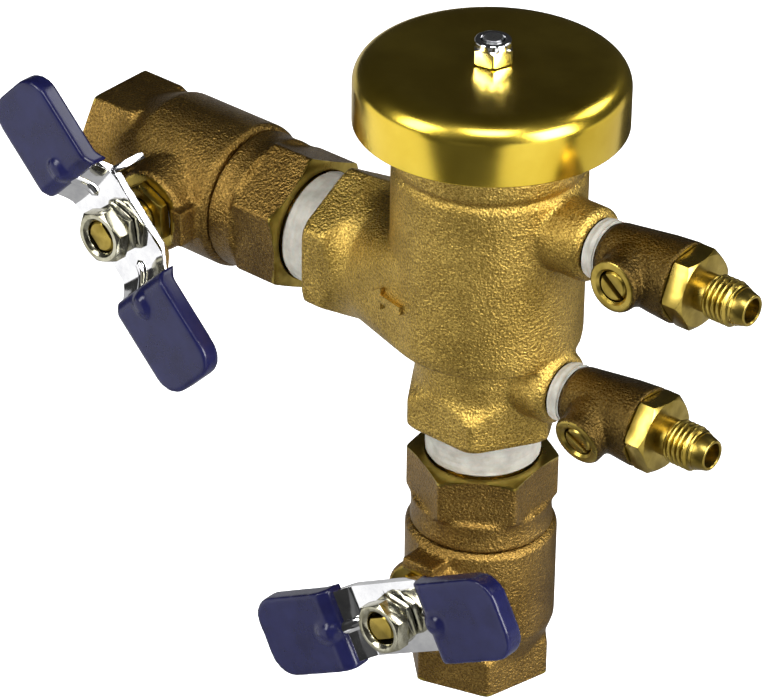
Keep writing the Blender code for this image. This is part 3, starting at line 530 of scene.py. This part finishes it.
def flared_hexagon(name, length, place):
    """A wrench hexagon, chamfered at its open face and faired into the round neck behind it."""
    radius, fillet = BODY_HEX_R, 7
    flats = prism(name, hexagon(radius, 0), -OVER, length + 9, place)
    cone = [(0, 0), (radius - 1.6, 0), (radius + 0.6, 1.3), (radius + 0.6, length - 3)]
    cone += arc(NECK_R + fillet, length + 4, fillet, 250, 180)
    cone += [(NECK_R, length + 6.5), (0, length + 6.5)]
    return combine(flats, lathe(name + "_envelope", cone, place), "INTERSECT")


def fairing(chamber_r, foot):
    """The casting sweeps from the chamber's foot into the outlet neck."""
    shape = bmesh.new()
    sweep_r, neck_x, rise = chamber_r - 0.3, -30.5, 17
    rims = [(Matrix.Translation((0, 0, foot + 0.6)), sweep_r),
            (Matrix.Translation((0, 0, OUTLET_Z + rise)), sweep_r),
            (Matrix.Translation((neck_x, 0, OUTLET_Z)) @ SIDE, NECK_R)]
    for place, radius in rims:
        bmesh.ops.create_circle(shape, segments=72, radius=radius, matrix=place)
    hull = bmesh.ops.convex_hull(shape, input=shape.verts)
    loose = [v for v in hull["geom_interior"] + hull["geom_unused"]
             if isinstance(v, bmesh.types.BMVert)]
    bmesh.ops.delete(shape, geom=loose, context="VERTS")
    return solid("fairing", shape)


def flow_arrow(chamber_r):
    """A raised arrow along the fairing that shows which way the water goes."""
    tip, neck, end, width, head = -6.0, -1.5, 6.0, 1.1, 3.0
    points = [(tip, 0), (neck, head), (neck, width), (end, width), (end, -width), (neck, -width),
              (neck, -head)]
    root, face = -3, 1.2
    middle = at(-13.5, 2.75 - chamber_r, OUTLET_Z + 3.5)
    return prism("flow_arrow", points, root, face, middle @ turn(FAIRING_TILT, "Z") @ OUT)


def chamber_wall(low_z, top, chamber_r, foot):
    """The round chamber over its neck, with a shallow groove turned near the top."""
    start, groove, edge = low_z + 5.8, top - GROOVE_DOWN, 1
    floor_half, mouth_half = 0.4, 1.3
    outline = [(0, start), (NECK_R, start), (NECK_R, foot - 2.2), (NECK_R + 1.6, foot - 0.4)]
    outline += arc(chamber_r - FOOT_R, foot + 3.3, FOOT_R, -80, 0)
    outline += [(chamber_r, groove - mouth_half), (chamber_r - GROOVE_DEPTH, groove - floor_half),
                (chamber_r - GROOVE_DEPTH, groove + floor_half), (chamber_r, groove + mouth_half)]
    outline += [(chamber_r, top - edge), (chamber_r - edge, top), (0, top)]
    return lathe("bronze_body", outline)


def cock_bosses(body):
    """The bosses that the test cocks screw into; returns each one's end face and frame."""
    ports = []
    radius, chamfer = 9.3, 1.2
    for cock in ("upper", "lower"):
        tape_low, _ = box_mm(cock + "_test_cock_tape")
        centre = JOINTS[cock + "_cock_turn"]["pos_m"][2] / MM
        face = tape_low.x - GAP
        place = at(0, 0, centre) @ SIDE
        boss = [(0, 2), (radius, 2), (radius, face - chamfer), (radius - chamfer, face), (0, face)]
        combine(body, lathe("boss", boss, place), "UNION")
        ports.append((face, place))
    return ports


def body_bores(body, low, top, foot, outlet, ports):
    """The chamber, bored from above, the two threaded sockets and the test cocks' ports."""
    ledge, step, rim = foot + 4.4, foot + 5.6, top - 2.4
    rim_r = CHAMBER_BORE_R + 2.1
    chamber = [(0, ledge), (THROAT_R, ledge), (THROAT_R, step), (CHAMBER_BORE_R, step),
               (CHAMBER_BORE_R, rim), (rim_r, rim), (rim_r, top + OVER), (0, top + OVER)]
    combine(body, lathe("chamber", chamber), "DIFFERENCE")
    for place, reach in ((at(0, 0, low.z), foot + 7 - low.z), (outlet, -low.x - 5)):
        socket = pipe_socket(0, 1, SOCKET_DEPTH, THROAT_R) + [(THROAT_R, reach), (0, reach)]
        combine(body, lathe("socket", socket, place), "DIFFERENCE")
    for face, place in ports:
        port = [(0, 5), (PORT_R, 5), (PORT_R, face - 9.5), (PORT_THREAD_R, face - 8.5),
                (PORT_THREAD_R, face + OVER), (0, face + OVER)]
        combine(body, lathe("port", port, place), "DIFFERENCE")


def body_casting():
    low, high = box_mm("body")
    chamber_r, top, foot = high.y, high.z, OUTLET_Z - CHAMBER_DROP
    outlet = at(low.x, 0, OUTLET_Z) @ SIDE
    body = chamber_wall(low.z, top, chamber_r, foot)
    combine(body, fairing(chamber_r, foot), "UNION")
    combine(body, flared_hexagon("inlet_hexagon", 10, at(0, 0, low.z)), "UNION")
    combine(body, flared_hexagon("outlet_hexagon", 8.5, outlet), "UNION")
    ports = cock_bosses(body)
    sand_cast(body, voxel=0.55, rounds=7)
    combine(body, flow_arrow(chamber_r), "UNION")
    body_bores(body, low, top, foot, outlet, ports)
    near_face, socket_end, wall = 0.12, 12, SOCKET_R + 1.2

    def cut_face(p):
        radial = math.hypot(p.x, p.y)
        across = math.hypot(p.y, p.z - OUTLET_Z)
        in_inlet = p.z < low.z + socket_end and radial < wall
        in_outlet = p.x < low.x + socket_end and across < wall
        on_end = p.z < low.z + near_face or p.x < low.x + near_face
        in_chamber = p.z > foot + 4 and radial < CHAMBER_BORE_R + 2.2 and p.x > -22
        return in_inlet or in_outlet or on_end or in_chamber

    finish(body, "assembly", [BODY_BRONZE, BRASS], ["body"], cut_face)


def canopy():
    low, high = box_mm("canopy")
    outer, corner, hem = high.x, CANOPY_CORNER, 0.35
    top = [CANOPY_HOLE_R + (outer - corner - CANOPY_HOLE_R) * i / 10 for i in range(11)]
    profile = [(r, high.z - CANOPY_CROWN * (r / outer) ** 2) for r in top]
    edge = high.z - CANOPY_CROWN
    profile += arc(outer - corner, edge - corner, corner, 84, 0, 14)
    profile += arc(outer - hem, low.z + hem, hem, 0, -90, 4)
    profile += arc(outer - CANOPY_SHEET + hem, low.z + hem, hem, 270, 180, 4)
    profile += arc(outer - corner, edge - corner, corner - CANOPY_SHEET, 0, 90, 10)
    profile += [(CANOPY_HOLE_R, edge - CANOPY_SHEET)]
    cap = lathe("spun_canopy", profile, steps=192, closed=True)
    finish(cap, "assembly", [CANOPY_BRASS], ["canopy"], sharp=50)


def canopy_nut():
    """A hexagon nut with a locking collar, on the screw through the canopy."""
    low, high = box_mm("canopy_nut")
    nut = prism("canopy_lock_nut", hexagon(CANOPY_NUT_R, 12), low.z - 1, high.z + 1)
    collar, collar_r, edge = high.z - 1.6, 3.9, 0.5
    shape = [(0, low.z), (4.7, low.z), (5.2, low.z + edge), (5.2, collar - 0.6), (4.5, collar)]
    shape += arc(collar_r, high.z - edge, edge, 0, 90, 5) + [(collar_r - edge, high.z), (0, high.z)]
    combine(nut, lathe("nut_shape", shape, steps=64), "INTERSECT")
    bore = [(0, low.z - OVER), (2.7, low.z - OVER), (2.7, high.z - 1), (3.2, high.z + 1), (0, high.z + 1)]
    combine(nut, lathe("bore", bore, steps=48), "DIFFERENCE")
    bevel(nut, width=0.12, segments=2, angle=40)
    finish(nut, "assembly", [CHROME], ["canopy_nut"])


# ---------------------------------------------------------------- ball valves

class Valve:
    """Where one valve sits: its frame's +Z points to the body, its stem out along -Y."""

    def __init__(self, name):
        self.name = name
        joint = JOINTS[name + "_handle_turn"]
        centre = Vector(joint["pos_m"]) / MM
        body_low, _ = box_mm(name + "_valve_body")
        _, cap_high = box_mm(name + "_valve_end_cap")
        handle_low, _ = box_mm(name + "_handle")
        upright = abs(centre.x) < 1
        self.axis = 2 if upright else 0
        self.place = at(*centre) @ (Matrix() if upright else SIDE)
        self.tail = centre[self.axis] - body_low[self.axis]
        self.top = cap_high[self.axis] - centre[self.axis]
        self.plate = -handle_low.y - PLATE_T - WING_STEP
        closed = 0 if upright else 180
        self.spindle = self.place @ turn(joint["range_deg"][0] - closed, "Y")
        self.body = name + "_handle"
        self.cap_turn, self.body_turn = HEX_TURNS[name]


def local(place, point):
    """A point as place's frame has it."""
    return (place.inverted() @ (point * MM)) / MM


def valve_end_cap(valve):
    top, place = valve.top, valve.place
    cap = prism(valve.name + "_cap_hexagon", hexagon(HEX_R, valve.cap_turn), 19, top + OVER, place)
    envelope = [(0, 20.6), (16.6, 20.6), (17.4, 21.6), (HEX_R + 0.4, 23), (HEX_R + 0.4, top + 3),
                (0, top + 3)]
    combine(cap, lathe("envelope", envelope, place), "INTERSECT")
    spigot = [(0, 8), (15.9, 8), (15.9, 15), (17.9, 15), (17.5, 19), (17.7, 22.3), (0, 22.3)]
    combine(cap, lathe("spigot", spigot, place @ turn(2, "Z")), "UNION")
    sand_cast(cap, voxel=0.5, rounds=4)
    chamfer_drop, chamfer_slope = 1.5, 1.6
    face = [(0, 7), (HEX_R + OVER, 7), (HEX_R + OVER, top - chamfer_drop), (16.7, top), (0, top)]
    combine(cap, lathe("face", face, place), "INTERSECT")
    socket = pipe_socket(top, -1, SOCKET_DEPTH, WATERWAY_R)
    socket += [(WATERWAY_R, BALL_ROOM), (12.6, BALL_ROOM), (12.6, 6), (0, 6)]
    combine(cap, lathe("socket", socket, place), "DIFFERENCE")

    def cut_face(p):
        q = local(place, p)
        radial = math.hypot(q.x, q.y)
        outside = radial > CAP_CHAMFER_R and radial + (q.z - top) * chamfer_slope > CAP_CHAMFER_R
        on_chamfer = outside and q.z > top - chamfer_drop + 0.05
        return q.z > top - NEAR or radial < SOCKET_R + 1 or on_chamfer

    finish(cap, "assembly", [VALVE_BRONZE, BRASS], [valve.name + "_valve_end_cap"],
           cut_face)


def valve_casting(valve):
    """The barrel with its wrench hexagon, the stem's boss and the two stop lugs."""
    tail, place = valve.tail, valve.place
    outline = [(0, 14.7), (BARREL_R - 1.2, 14.7), (BARREL_R, 13.5), (BARREL_R, -12.4),
               (BARREL_R - 0.5, -13.9), (16.5, -19.5), (16.3, -23), (0, -23)]
    body = lathe(valve.name + "_barrel", outline, place)
    flats = prism("flats", hexagon(HEX_R - 0.1, valve.body_turn), -tail - OVER, -13, place)
    envelope = [(0, -tail - 3), (HEX_R + 0.4, -tail - 3), (HEX_R + 0.4, -19), (16, -15.5), (0, -15.5)]
    combine(flats, lathe("envelope", envelope, place), "INTERSECT")
    combine(body, flats, "UNION")
    boss = [(0, 5), (13, 5), (12.5, 15), (11.4, 18), (11, 20), (11, BOSS_REACH - 1), (10.2, BOSS_REACH),
            (0, BOSS_REACH)]
    combine(body, lathe("boss", boss, place @ OUT), "UNION")
    for low, high in STOP_LUGS:
        combine(body, block("stop", low, high, place), "UNION")
    sand_cast(body, voxel=0.55, rounds=5)
    return body


def valve_body(valve):
    tail, place = valve.tail, valve.place
    body = valve_casting(valve)
    chamfer = 0.9
    face = [(0, 16), (HEX_R + 4, 16), (HEX_R + 4, -tail + chamfer), (HEX_R - 0.8, -tail), (0, -tail)]
    cutter = lathe("face", face, place)
    combine(cutter, lathe("reach", [(0, 2), (14.6, 2), (14.6, 30), (0, 30)], place @ OUT), "UNION")
    combine(body, cutter, "INTERSECT")
    cap_seat, cap_seat_r = 7.7, 16.2
    socket = pipe_socket(-tail, 1, VALVE_SOCKET_DEPTH, WATERWAY_R)
    socket += [(WATERWAY_R, -BALL_ROOM), (13.6, -BALL_ROOM), (13.6, cap_seat), (cap_seat_r, cap_seat),
               (cap_seat_r, 17), (0, 17)]
    combine(body, lathe("socket", socket, place), "DIFFERENCE")
    packing_r = 7.6
    hole = [(0, 8), (6.4, 8), (6.4, 15.5), (5, 15.5), (5, 18.6), (packing_r, 18.6), (packing_r, 28), (0, 28)]
    combine(body, lathe("stem_hole", hole, place @ OUT, 64), "DIFFERENCE")

    def cut_face(p):
        q = local(place, p)
        radial = math.hypot(q.x, q.y)
        out = math.hypot(q.x, q.z)
        on_end = q.z < -tail + NEAR or (q.z < -tail + chamfer - 0.05 and radial > HEX_R - 1.0)
        in_stem_hole = q.y < -15 and out < packing_r + 0.3
        on_boss_end = q.y < -BOSS_REACH + 0.15 and out < 10.2
        return on_end or radial < SOCKET_R + 1 or in_stem_hole or on_boss_end

    finish(body, "assembly", [VALVE_BRONZE, BRASS], [valve.name + "_valve_body"], cut_face)


def nut(name, valve, low, high, degrees, radius, bore, look, slot, node, body, sink):
    """A chamfered hexagon nut from low to high out along the stem, with a countersunk bore."""
    place = valve.spindle @ OUT
    thing = prism(name, hexagon(radius, degrees), low - 1, high + 1, place)
    shape = [(0, low), (radius - 0.6, low), (radius + 0.1, low + 0.4), (radius + 0.1, high - 0.8),
             (radius - 1.1, high), (0, high)]
    combine(thing, lathe("shape", shape, place, 72), "INTERSECT")
    hole = [(0, low - OVER), (bore, low - OVER), (bore, high - sink), (bore + sink, high + 0.01),
            (bore + sink, high + OVER), (0, high + OVER)]
    combine(thing, lathe("hole", hole, place, 64), "DIFFERENCE")
    bevel(thing, width=0.14, segments=2, angle=32)
    finish(thing, body, [look], [node])


def rise(x):
    """How far the strip stands out from its middle at x."""
    share = (abs(x) - STEP_START) / (STEP_END - STEP_START)
    share = max(0.0, min(1.0, share))
    return WING_STEP * share * share * (3 - 2 * share)


def strip(name, valve, x0, x1, near, far, half):
    """The bent strip from x0 to x1, between two distances out along the stem."""
    steps = 70
    xs = [x0 + (x1 - x0) * i / steps for i in range(steps + 1)]
    points = [(x, far + rise(x)) for x in xs]
    points += [(x, near + rise(x)) for x in reversed(xs)]
    return prism(name, points, -half, half, valve.spindle @ turn(180, "X"))


def rib(valve, x0, x1, radius, height):
    """A round-ended rib that follows the strip's bend."""
    shape = bmesh.new()
    rows, sides, smallest = 14, 16, 0.12
    rings = []
    for i in range(rows + 1):
        x = x0 + (x1 - x0) * i / rows
        end = min(abs(x - x0), abs(x1 - x))
        share = math.sqrt(max(0.0, 1 - max(0.0, 1 - end / radius) ** 2))
        share = max(share, smallest)
        s = height + rise(x)
        ring = []
        for j in range(sides):
            angle = 2 * math.pi * j / sides
            ring.append(shape.verts.new((x, -s - RIB_RISE * share * math.sin(angle) + 0.2,
                                         radius * share * math.cos(angle))))
        rings.append(ring)
    bridge(shape, rings, sides)
    shape.faces.new(rings[0])
    shape.faces.new(rings[-1])
    return solid("rib", shape, valve.spindle)


def outline_cutter(valve, x0, x1, half, corner):
    """A tall block with the strip's outline as seen along the stem."""
    return prism("plan", rounded_rectangle(x0, x1, half, corner), -60, 60, valve.spindle @ OUT)


def handle_plate(valve):
    tip = HANDLE_HALF - GRIP_SKIN
    half = HANDLE_HALF_WIDTH - GRIP_SKIN
    near, far = valve.plate, valve.plate + PLATE_T
    plate = strip(valve.name + "_plate", valve, -tip - 5, tip + 5, near, far, 15)
    combine(plate, outline_cutter(valve, -tip, tip, half, 5), "INTERSECT")
    (x0, x1), (z0, z1) = STOP_TAB_X, STOP_TAB_Z
    tab = block("tab", (x0, -near - PLATE_T + 0.5, z0), (x1, -near + STOP_TAB_REACH, z1), valve.spindle)
    combine(plate, tab, "UNION")
    bore = STEM_R + GAP
    hole = [(0, near - 5), (bore, near - 5), (bore, far + 5), (0, far + 5)]
    combine(plate, lathe("hole", hole, valve.spindle @ OUT, 48), "DIFFERENCE")
    bevel(plate, width=0.4, segments=3, angle=40)
    for side in (-1, 1):
        start, end = sorted((side * RIB_START, side * RIB_END))
        combine(plate, rib(valve, start, end, RIB_HALF_WIDTH, far), "UNION")
    finish(plate, valve.body, [CHROME], [valve.name + "_handle"])


def grips(valve):
    """Each wing is dipped in vinyl; the skin follows the strip, its tip and the rib."""
    near, far = valve.plate - GRIP_SKIN, valve.plate + PLATE_T + GRIP_SKIN
    for label, side in (("a", 1), ("b", -1)):
        x0, x1 = sorted((side * GRIP_START, side * (HANDLE_HALF + 5)))
        skin = strip(f"{valve.name}_vinyl_{label}", valve, x0, x1, near, far, 16)
        x0, x1 = sorted((side * (GRIP_START - 8), side * HANDLE_HALF))
        combine(skin, outline_cutter(valve, x0, x1, HANDLE_HALF_WIDTH, 6.5), "INTERSECT")
        x0, x1 = sorted((side * (GRIP_START + 0.2), side * (RIB_END + 1)))
        combine(skin, rib(valve, x0, x1, RIB_HALF_WIDTH + 0.8, far), "UNION")
        sand_cast(skin, voxel=0.45, rounds=14)
        finish(skin, valve.body, [VINYL], [f"{valve.name}_grip_{label}"], sharp=0)


def stem(valve):
    plate, end = valve.plate, valve.plate + NUT_FRONT - 0.95
    profile = [(0, 12.8), (6, 12.8), (6, 15), (4.7, 15), (4.7, plate - 1), (STEM_R, plate - 0.6),
               (STEM_R, end - 0.5), (STEM_R - 0.5, end), (0, end)]
    spindle = lathe(valve.name + "_spindle", profile, valve.spindle @ OUT, 64)
    for side in (-1, 1):
        low, high = sorted((side * STEM_FLATS / 2, side * 6))
        flat = block("flat", (-6, -end - 3, low), (6, -plate + 0.5, high), valve.spindle)
        combine(spindle, flat, "DIFFERENCE")
    tang = block("tang", (-4, -13.4, -2.2), (4, -10, 2.2), valve.spindle)
    combine(spindle, tang, "UNION")
    bevel(spindle, width=0.2, segments=2, angle=40)
    finish(spindle, valve.body, [BRASS], [valve.name + "_stem"])


def tape(name, radii, low, high, place, node, seed):
    """Wound tape: shallow ridges over the threads and a ragged, frayed edge."""
    shape = bmesh.new()
    inner, outer = radii
    steps, rows = 160, 16
    margin, edge_droop, ridge, lumps = 0.45, 0.25, 0.10, 0.12
    rings = []
    for row in range(rows + 1):
        at_edge = row in (0, rows)
        droop = edge_droop if at_edge else 0.0
        ring = []
        for i in range(steps):
            angle = 2 * math.pi * i / steps
            where = Vector((math.cos(angle) * 3, math.sin(angle) * 3, seed))
            fray = noise.noise(where * 2.2) * 0.30 + noise.noise(where * 7) * 0.12
            edge = low + margin + fray if row == 0 else high - margin + fray
            z = low + 0.2 + (high - low - 0.4) * (row / rows)
            z = max(low, min(high, edge)) if at_edge else z
            wave = ridge * math.cos(2 * math.pi * (z / PIPE_PITCH - i / steps))
            lump = lumps * noise.noise(Vector((where.x * 2, where.y * 2, z * 0.6 + seed)))
            radius = outer - ridge - lumps + wave + lump - droop
            ring.append(shape.verts.new(polar(radius, i, steps, z)))
        rings.append(ring)
    for z in (high, low):
        rings.append([shape.verts.new(polar(inner, i, steps, z)) for i in range(steps)])
    bridge(shape, rings + rings[:1], steps)
    thing = solid(name, shape, place)
    finish(thing, "assembly", [TAPE], [node], sharp=45)


def ball_valve(name):
    valve = Valve(name)
    valve_end_cap(valve)
    valve_body(valve)
    back, front = GLAND_NUT
    nut(name + "_gland", valve, back, front, 20, 8.6, 5.0, BRASS, "machined_brass", name + "_gland_nut",
        "assembly", 0.4)
    back, front = valve.plate + PLATE_T + GAP, valve.plate + NUT_FRONT
    bore = STEM_R + GAP
    nut(name + "_jam", valve, back, back + JAM_NUT, 24, NUT_R, bore, NICKEL, "chrome",
        name + "_handle_jam_nut", valve.body, 0.3)
    nut(name + "_lock", valve, back + JAM_NUT + GAP, front, 4, NUT_R, bore, NICKEL, "chrome",
        name + "_handle_lock_nut", valve.body, 0.9)
    stem(valve)
    handle_plate(valve)
    grips(valve)
    axis = valve.axis
    low, high = box_mm(name + "_nipple_tape")
    middle = Matrix() if axis == 2 else at(0, 0, OUTLET_Z) @ SIDE
    tape(name + "_tape_wrap", NIPPLE_TAPE, low[axis], high[axis], middle, name + "_nipple_tape",
         seed=1.7 + axis)


# ---------------------------------------------------------------- test cocks

class Cock:
    """One test cock's frame: X out of the body through the adaptor's hexagon face, stem along -Y."""

    def __init__(self, name, slot, hex_turn):
        self.name = name + "_test_cock"
        self.body = name + "_cock_stem"
        joint = JOINTS[name + "_cock_turn"]
        centre = Vector(joint["pos_m"]) / MM
        axis = Vector(joint["axis"])
        roll = math.degrees(math.atan2(-axis.z, -axis.y))
        self.place = at(centre.x + COCK_STEM_X, 0, centre.z) @ turn(roll, "X")
        self.stem_place = self.place @ at(-COCK_STEM_X, 0, 0)
        self.centre_z = centre.z
        self.slot, self.hex_turn = slot, hex_turn


def cock_body(cock):
    tail, front = -COCK_LENGTH, -5 - GAP
    place, boss_place = cock.place @ SIDE, cock.stem_place @ OUT
    outline = [(0, tail), (7.2, tail), (7.8, tail + 0.8), (9.6, -12), (10.1, front), (0, front)]
    body = lathe(cock.name + "_casting", outline, place)
    boss = [(0, 1), (8.3, 1), (7.6, 6), (6.7, 9.5), (6.7, 12.4), (6.1, 13), (0, 13)]
    combine(body, lathe("boss", boss, boss_place), "UNION")
    sand_cast(body, voxel=0.4, rounds=7)
    thread = [(0, tail - 11.5), (6.06, tail - 11.5), (6.86, tail - 10.5), (6.86, tail + 2), (0, tail + 2)]
    combine(body, lathe("thread", thread, place, 64), "UNION")
    ball_room, ball_room_r = -COCK_STEM_X - 5.4, 5.8
    waterway = [(0, tail - 13), (PORT_R, tail - 13), (PORT_R, ball_room - 0.6), (ball_room_r, ball_room),
                (ball_room_r, 0), (0, 0)]
    combine(body, lathe("waterway", waterway, place, 64), "DIFFERENCE")
    hole = [(0, 2), (4.0, 2), (4.0, 12.4), (4.7, 13.1), (4.7, 16), (0, 16)]
    combine(body, lathe("hole", hole, boss_place, 64), "DIFFERENCE")

    def cut_face(p):
        q = local(cock.place, p)
        out = math.hypot(q.x + COCK_STEM_X, q.z)
        return (q.y < -12.3 and out < 6.2) or (q.y < -5 and out < 4.8) or q.x > front - 0.05

    finish(body, "assembly", [COCK_BRONZE, BRASS], [cock.name], cut_face)


def flare_thread(place):
    """A helical thread that fades in and out at its ends."""
    first, last = FLARE_THREAD
    start, end, fade_length = -1.0, 10.6, 0.8
    steps, rows = 72, 120
    shape = bmesh.new()
    rings = []
    for row in range(rows + 1):
        z = start + (end - start) * row / rows
        fade_in = max(0.0, min(1.0, (z - first) / fade_length))
        fade = fade_in * max(0.0, min(1.0, (last - z) / fade_length))
        ring = []
        for i in range(steps):
            phase = (z / FLARE_PITCH - i / steps) % 1
            height = max(0.0, min(1.0, 1.35 - 2.7 * abs(phase - 0.5)))
            radius = FLARE_ROOT_R + (FLARE_CREST_R - FLARE_ROOT_R) * fade * height
            ring.append(shape.verts.new(polar(radius, i, steps, z)))
        rings.append(ring)
    bridge(shape, rings, steps)
    shape.faces.new(rings[0])
    shape.faces.new(rings[-1])
    return solid("thread", shape, place)


def flare_adaptor(cock):
    """Hexagon, helical thread and flare nose."""
    radius, end, place = COCK_HEX_R, FLARE_LENGTH, cock.place @ SIDE
    adaptor = prism(cock.name + "_adaptor", hexagon(radius, cock.hex_turn), -7, OVER, place)
    shape = [(0, -5), (radius - 0.5, -5), (radius + 0.2, -4.6), (radius + 0.2, -1), (radius - 1.3, 0), (0, 0)]
    combine(adaptor, lathe("shape", shape, place, 72), "INTERSECT")
    bevel(adaptor, width=0.2, segments=2, angle=32)
    combine(adaptor, flare_thread(place), "UNION")
    nose = [(0, 9.8), (4.6, 9.8), (4.6, 10.7), (3.95, end - 0.6)]
    nose += arc(3.4, end - 0.5, 0.5, 0, 90, 5) + [(0, end)]
    combine(adaptor, lathe("nose", nose, place, 64), "UNION")
    tail = [(0, -9), (5.2, -9), (5.2, -4.5), (0, -4.5)]
    combine(adaptor, lathe("tail", tail, place, 64), "UNION")
    bore = [(0, -11), (2.2, -11), (2.2, end - 6), (3, end - 5), (3, end - 0.3), (3.3, end + 0.1),
            (3.3, end + OVER), (0, end + OVER)]
    combine(adaptor, lathe("bore", bore, place, 64), "DIFFERENCE")
    finish(adaptor, "assembly", [BRASS], [cock.name + "_flare_adaptor"])


def cock_stem(cock):
    top, slot_depth, slot_half = 12.7, 1.8, 0.75
    place = cock.stem_place @ turn(-cock.slot, "Y")
    profile = [(0, 5.1), (3.7, 5.1), (3.7, top - 0.5), (3.2, top), (0, top)]
    spindle = lathe(cock.name + "_spindle", profile, place @ OUT, 64)
    combine(spindle, block("tang", (-2.4, -6, -0.7), (2.4, -4, 0.7), place), "UNION")
    slot = block("slot", (-5, -15, -slot_half), (5, slot_depth - top, slot_half), place)
    combine(spindle, slot, "DIFFERENCE")
    bevel(spindle, width=0.12, segments=2, angle=40)
    finish(spindle, cock.body, [BRASS], [cock.name + "_stem"])


def test_cock(name, slot, hex_turn):
    """One test cock; slot and hex_turn are the angles of its screw's slot and its hexagon."""
    cock = Cock(name, slot, hex_turn)
    cock_body(cock)
    flare_adaptor(cock)
    cock_stem(cock)
    low, high = box_mm(cock.name + "_tape")
    tape(cock.name + "_tape_wrap", COCK_TAPE, low.x, high.x, at(0, 0, cock.centre_z) @ SIDE,
         cock.name + "_tape", seed=9.1 + hex_turn)


# ---------------------------------------------------------------- studio

def pale_floor():
    shape = bmesh.new()
    bmesh.ops.create_grid(shape, x_segments=2, y_segments=2, size=6000,
                          matrix=Matrix.Translation((0, 0, -40)))
    floor = solid("floor", shape)
    look = Look("floor", (0.93, 0.93, 0.93), metallic=0.0, roughness=0.9)
    look.colour(look.ramp(look.grain(4, 3), (0.3, (0.92, 0.92, 0.92)), (0.7, (0.95, 0.95, 0.95))))
    look.shader.inputs["Specular IOR Level"].default_value = 0.0
    look.shader.inputs["Emission Color"].default_value = (1, 1, 1, 1)
    look.shader.inputs["Emission Strength"].default_value = 0.72
    floor.data.materials.append(look.material)
    floor.visible_glossy = False


def outward(azimuth, elevation):
    """The direction at that azimuth (0 is -Y, 90 is +X) and elevation."""
    a, e = math.radians(azimuth), math.radians(elevation)
    return Vector((math.sin(a) * math.cos(e), -math.cos(a) * math.cos(e), math.sin(e)))


def soft_box(name, azimuth, elevation, distance, width, height, power):
    """A lamp that faces the middle of the part."""
    lamp = bpy.data.lights.new(name, "AREA")
    lamp.shape = "RECTANGLE"
    lamp.size, lamp.size_y = width, height
    lamp.energy = power
    thing = bpy.data.objects.new(name, lamp)
    thing.location = CENTRE + outward(azimuth, elevation) * distance
    thing.rotation_euler = (CENTRE - thing.location).to_track_quat("-Z", "Y").to_euler()
    SCENE.collection.objects.link(thing)


def glow_card(name, azimuth, elevation, distance, width, height, glow):
    """A glowing card that faces the canopy and only shows in reflections."""
    shape = bmesh.new()
    bmesh.ops.create_grid(shape, x_segments=1, y_segments=1, size=0.5)
    card = solid(name, shape, Matrix.Scale(1 / MM, 4))
    card.scale = (width, height, 1)
    card.location = CANOPY + outward(azimuth, elevation) * distance
    card.rotation_euler = (CANOPY - card.location).to_track_quat("Z", "Y").to_euler()
    look = Look(name, (0.02, 0.02, 0.02), metallic=0.0, roughness=0.8)
    look.shader.inputs["Emission Color"].default_value = (1, 1, 1, 1)
    look.shader.inputs["Emission Strength"].default_value = glow
    card.data.materials.append(look.material)
    card.visible_camera = False
    card.visible_diffuse = False
    card.visible_shadow = False


def camera():
    eye = bpy.data.cameras.new("camera")
    eye.sensor_width = SENSOR
    eye.lens = LENS
    eye.clip_end = 50
    thing = bpy.data.objects.new("camera", eye)
    back = outward(VIEW_AZIMUTH, VIEW_ELEVATION)
    thing.location = CENTRE + back * VIEW_DISTANCE
    right = outward(VIEW_AZIMUTH + 90, 0)
    up = back.cross(right)
    basis = Matrix((right, up, back)).transposed().to_4x4()
    thing.rotation_euler = (basis @ turn(VIEW_ROLL, "Z")).to_euler()
    SCENE.collection.objects.link(thing)
    SCENE.camera = thing


def lights():
    world = bpy.data.worlds.new("studio")
    world.use_nodes = True
    world.node_tree.nodes["Background"].inputs["Color"].default_value = (0.5, 0.5, 0.5, 1)
    world.node_tree.nodes["Background"].inputs["Strength"].default_value = 0.06
    SCENE.world = world
    SCENE.view_settings.view_transform = "Standard"
    soft_box("right", 92, 22, 1.4, 0.7, 0.9, 34)
    soft_box("front_left", -25, 30, 1.6, 0.6, 1.0, 20)
    soft_box("above_front", 40, 55, 1.5, 0.6, 0.6, 15)
    soft_box("behind", 150, 40, 1.6, 0.7, 0.5, 7)
    glow_card("glow_left", -46, -26, 0.8, 0.95, 0.7, 1.15)
    glow_card("glow_front", 18, -28, 0.8, 0.5, 0.7, 0.06)
    glow_card("glow_right", 74, -26, 0.8, 0.7, 0.7, 1.1)
    glow_card("glow_far_right", 140, -26, 0.8, 0.8, 0.7, 0.7)
    glow_card("glow_far_left", -118, -26, 0.8, 0.7, 0.7, 0.5)
    glow_card("glow_floor", 0, -89, 0.5, 0.9, 0.9, 0.4)


carried_over_nodes()
body_casting()
canopy()
canopy_nut()
ball_valve("inlet")
ball_valve("outlet")
test_cock("upper", slot=-38.5, hex_turn=34.8)
test_cock("lower", slot=-36.0, hex_turn=10.2)
pale_floor()
camera()
lights()
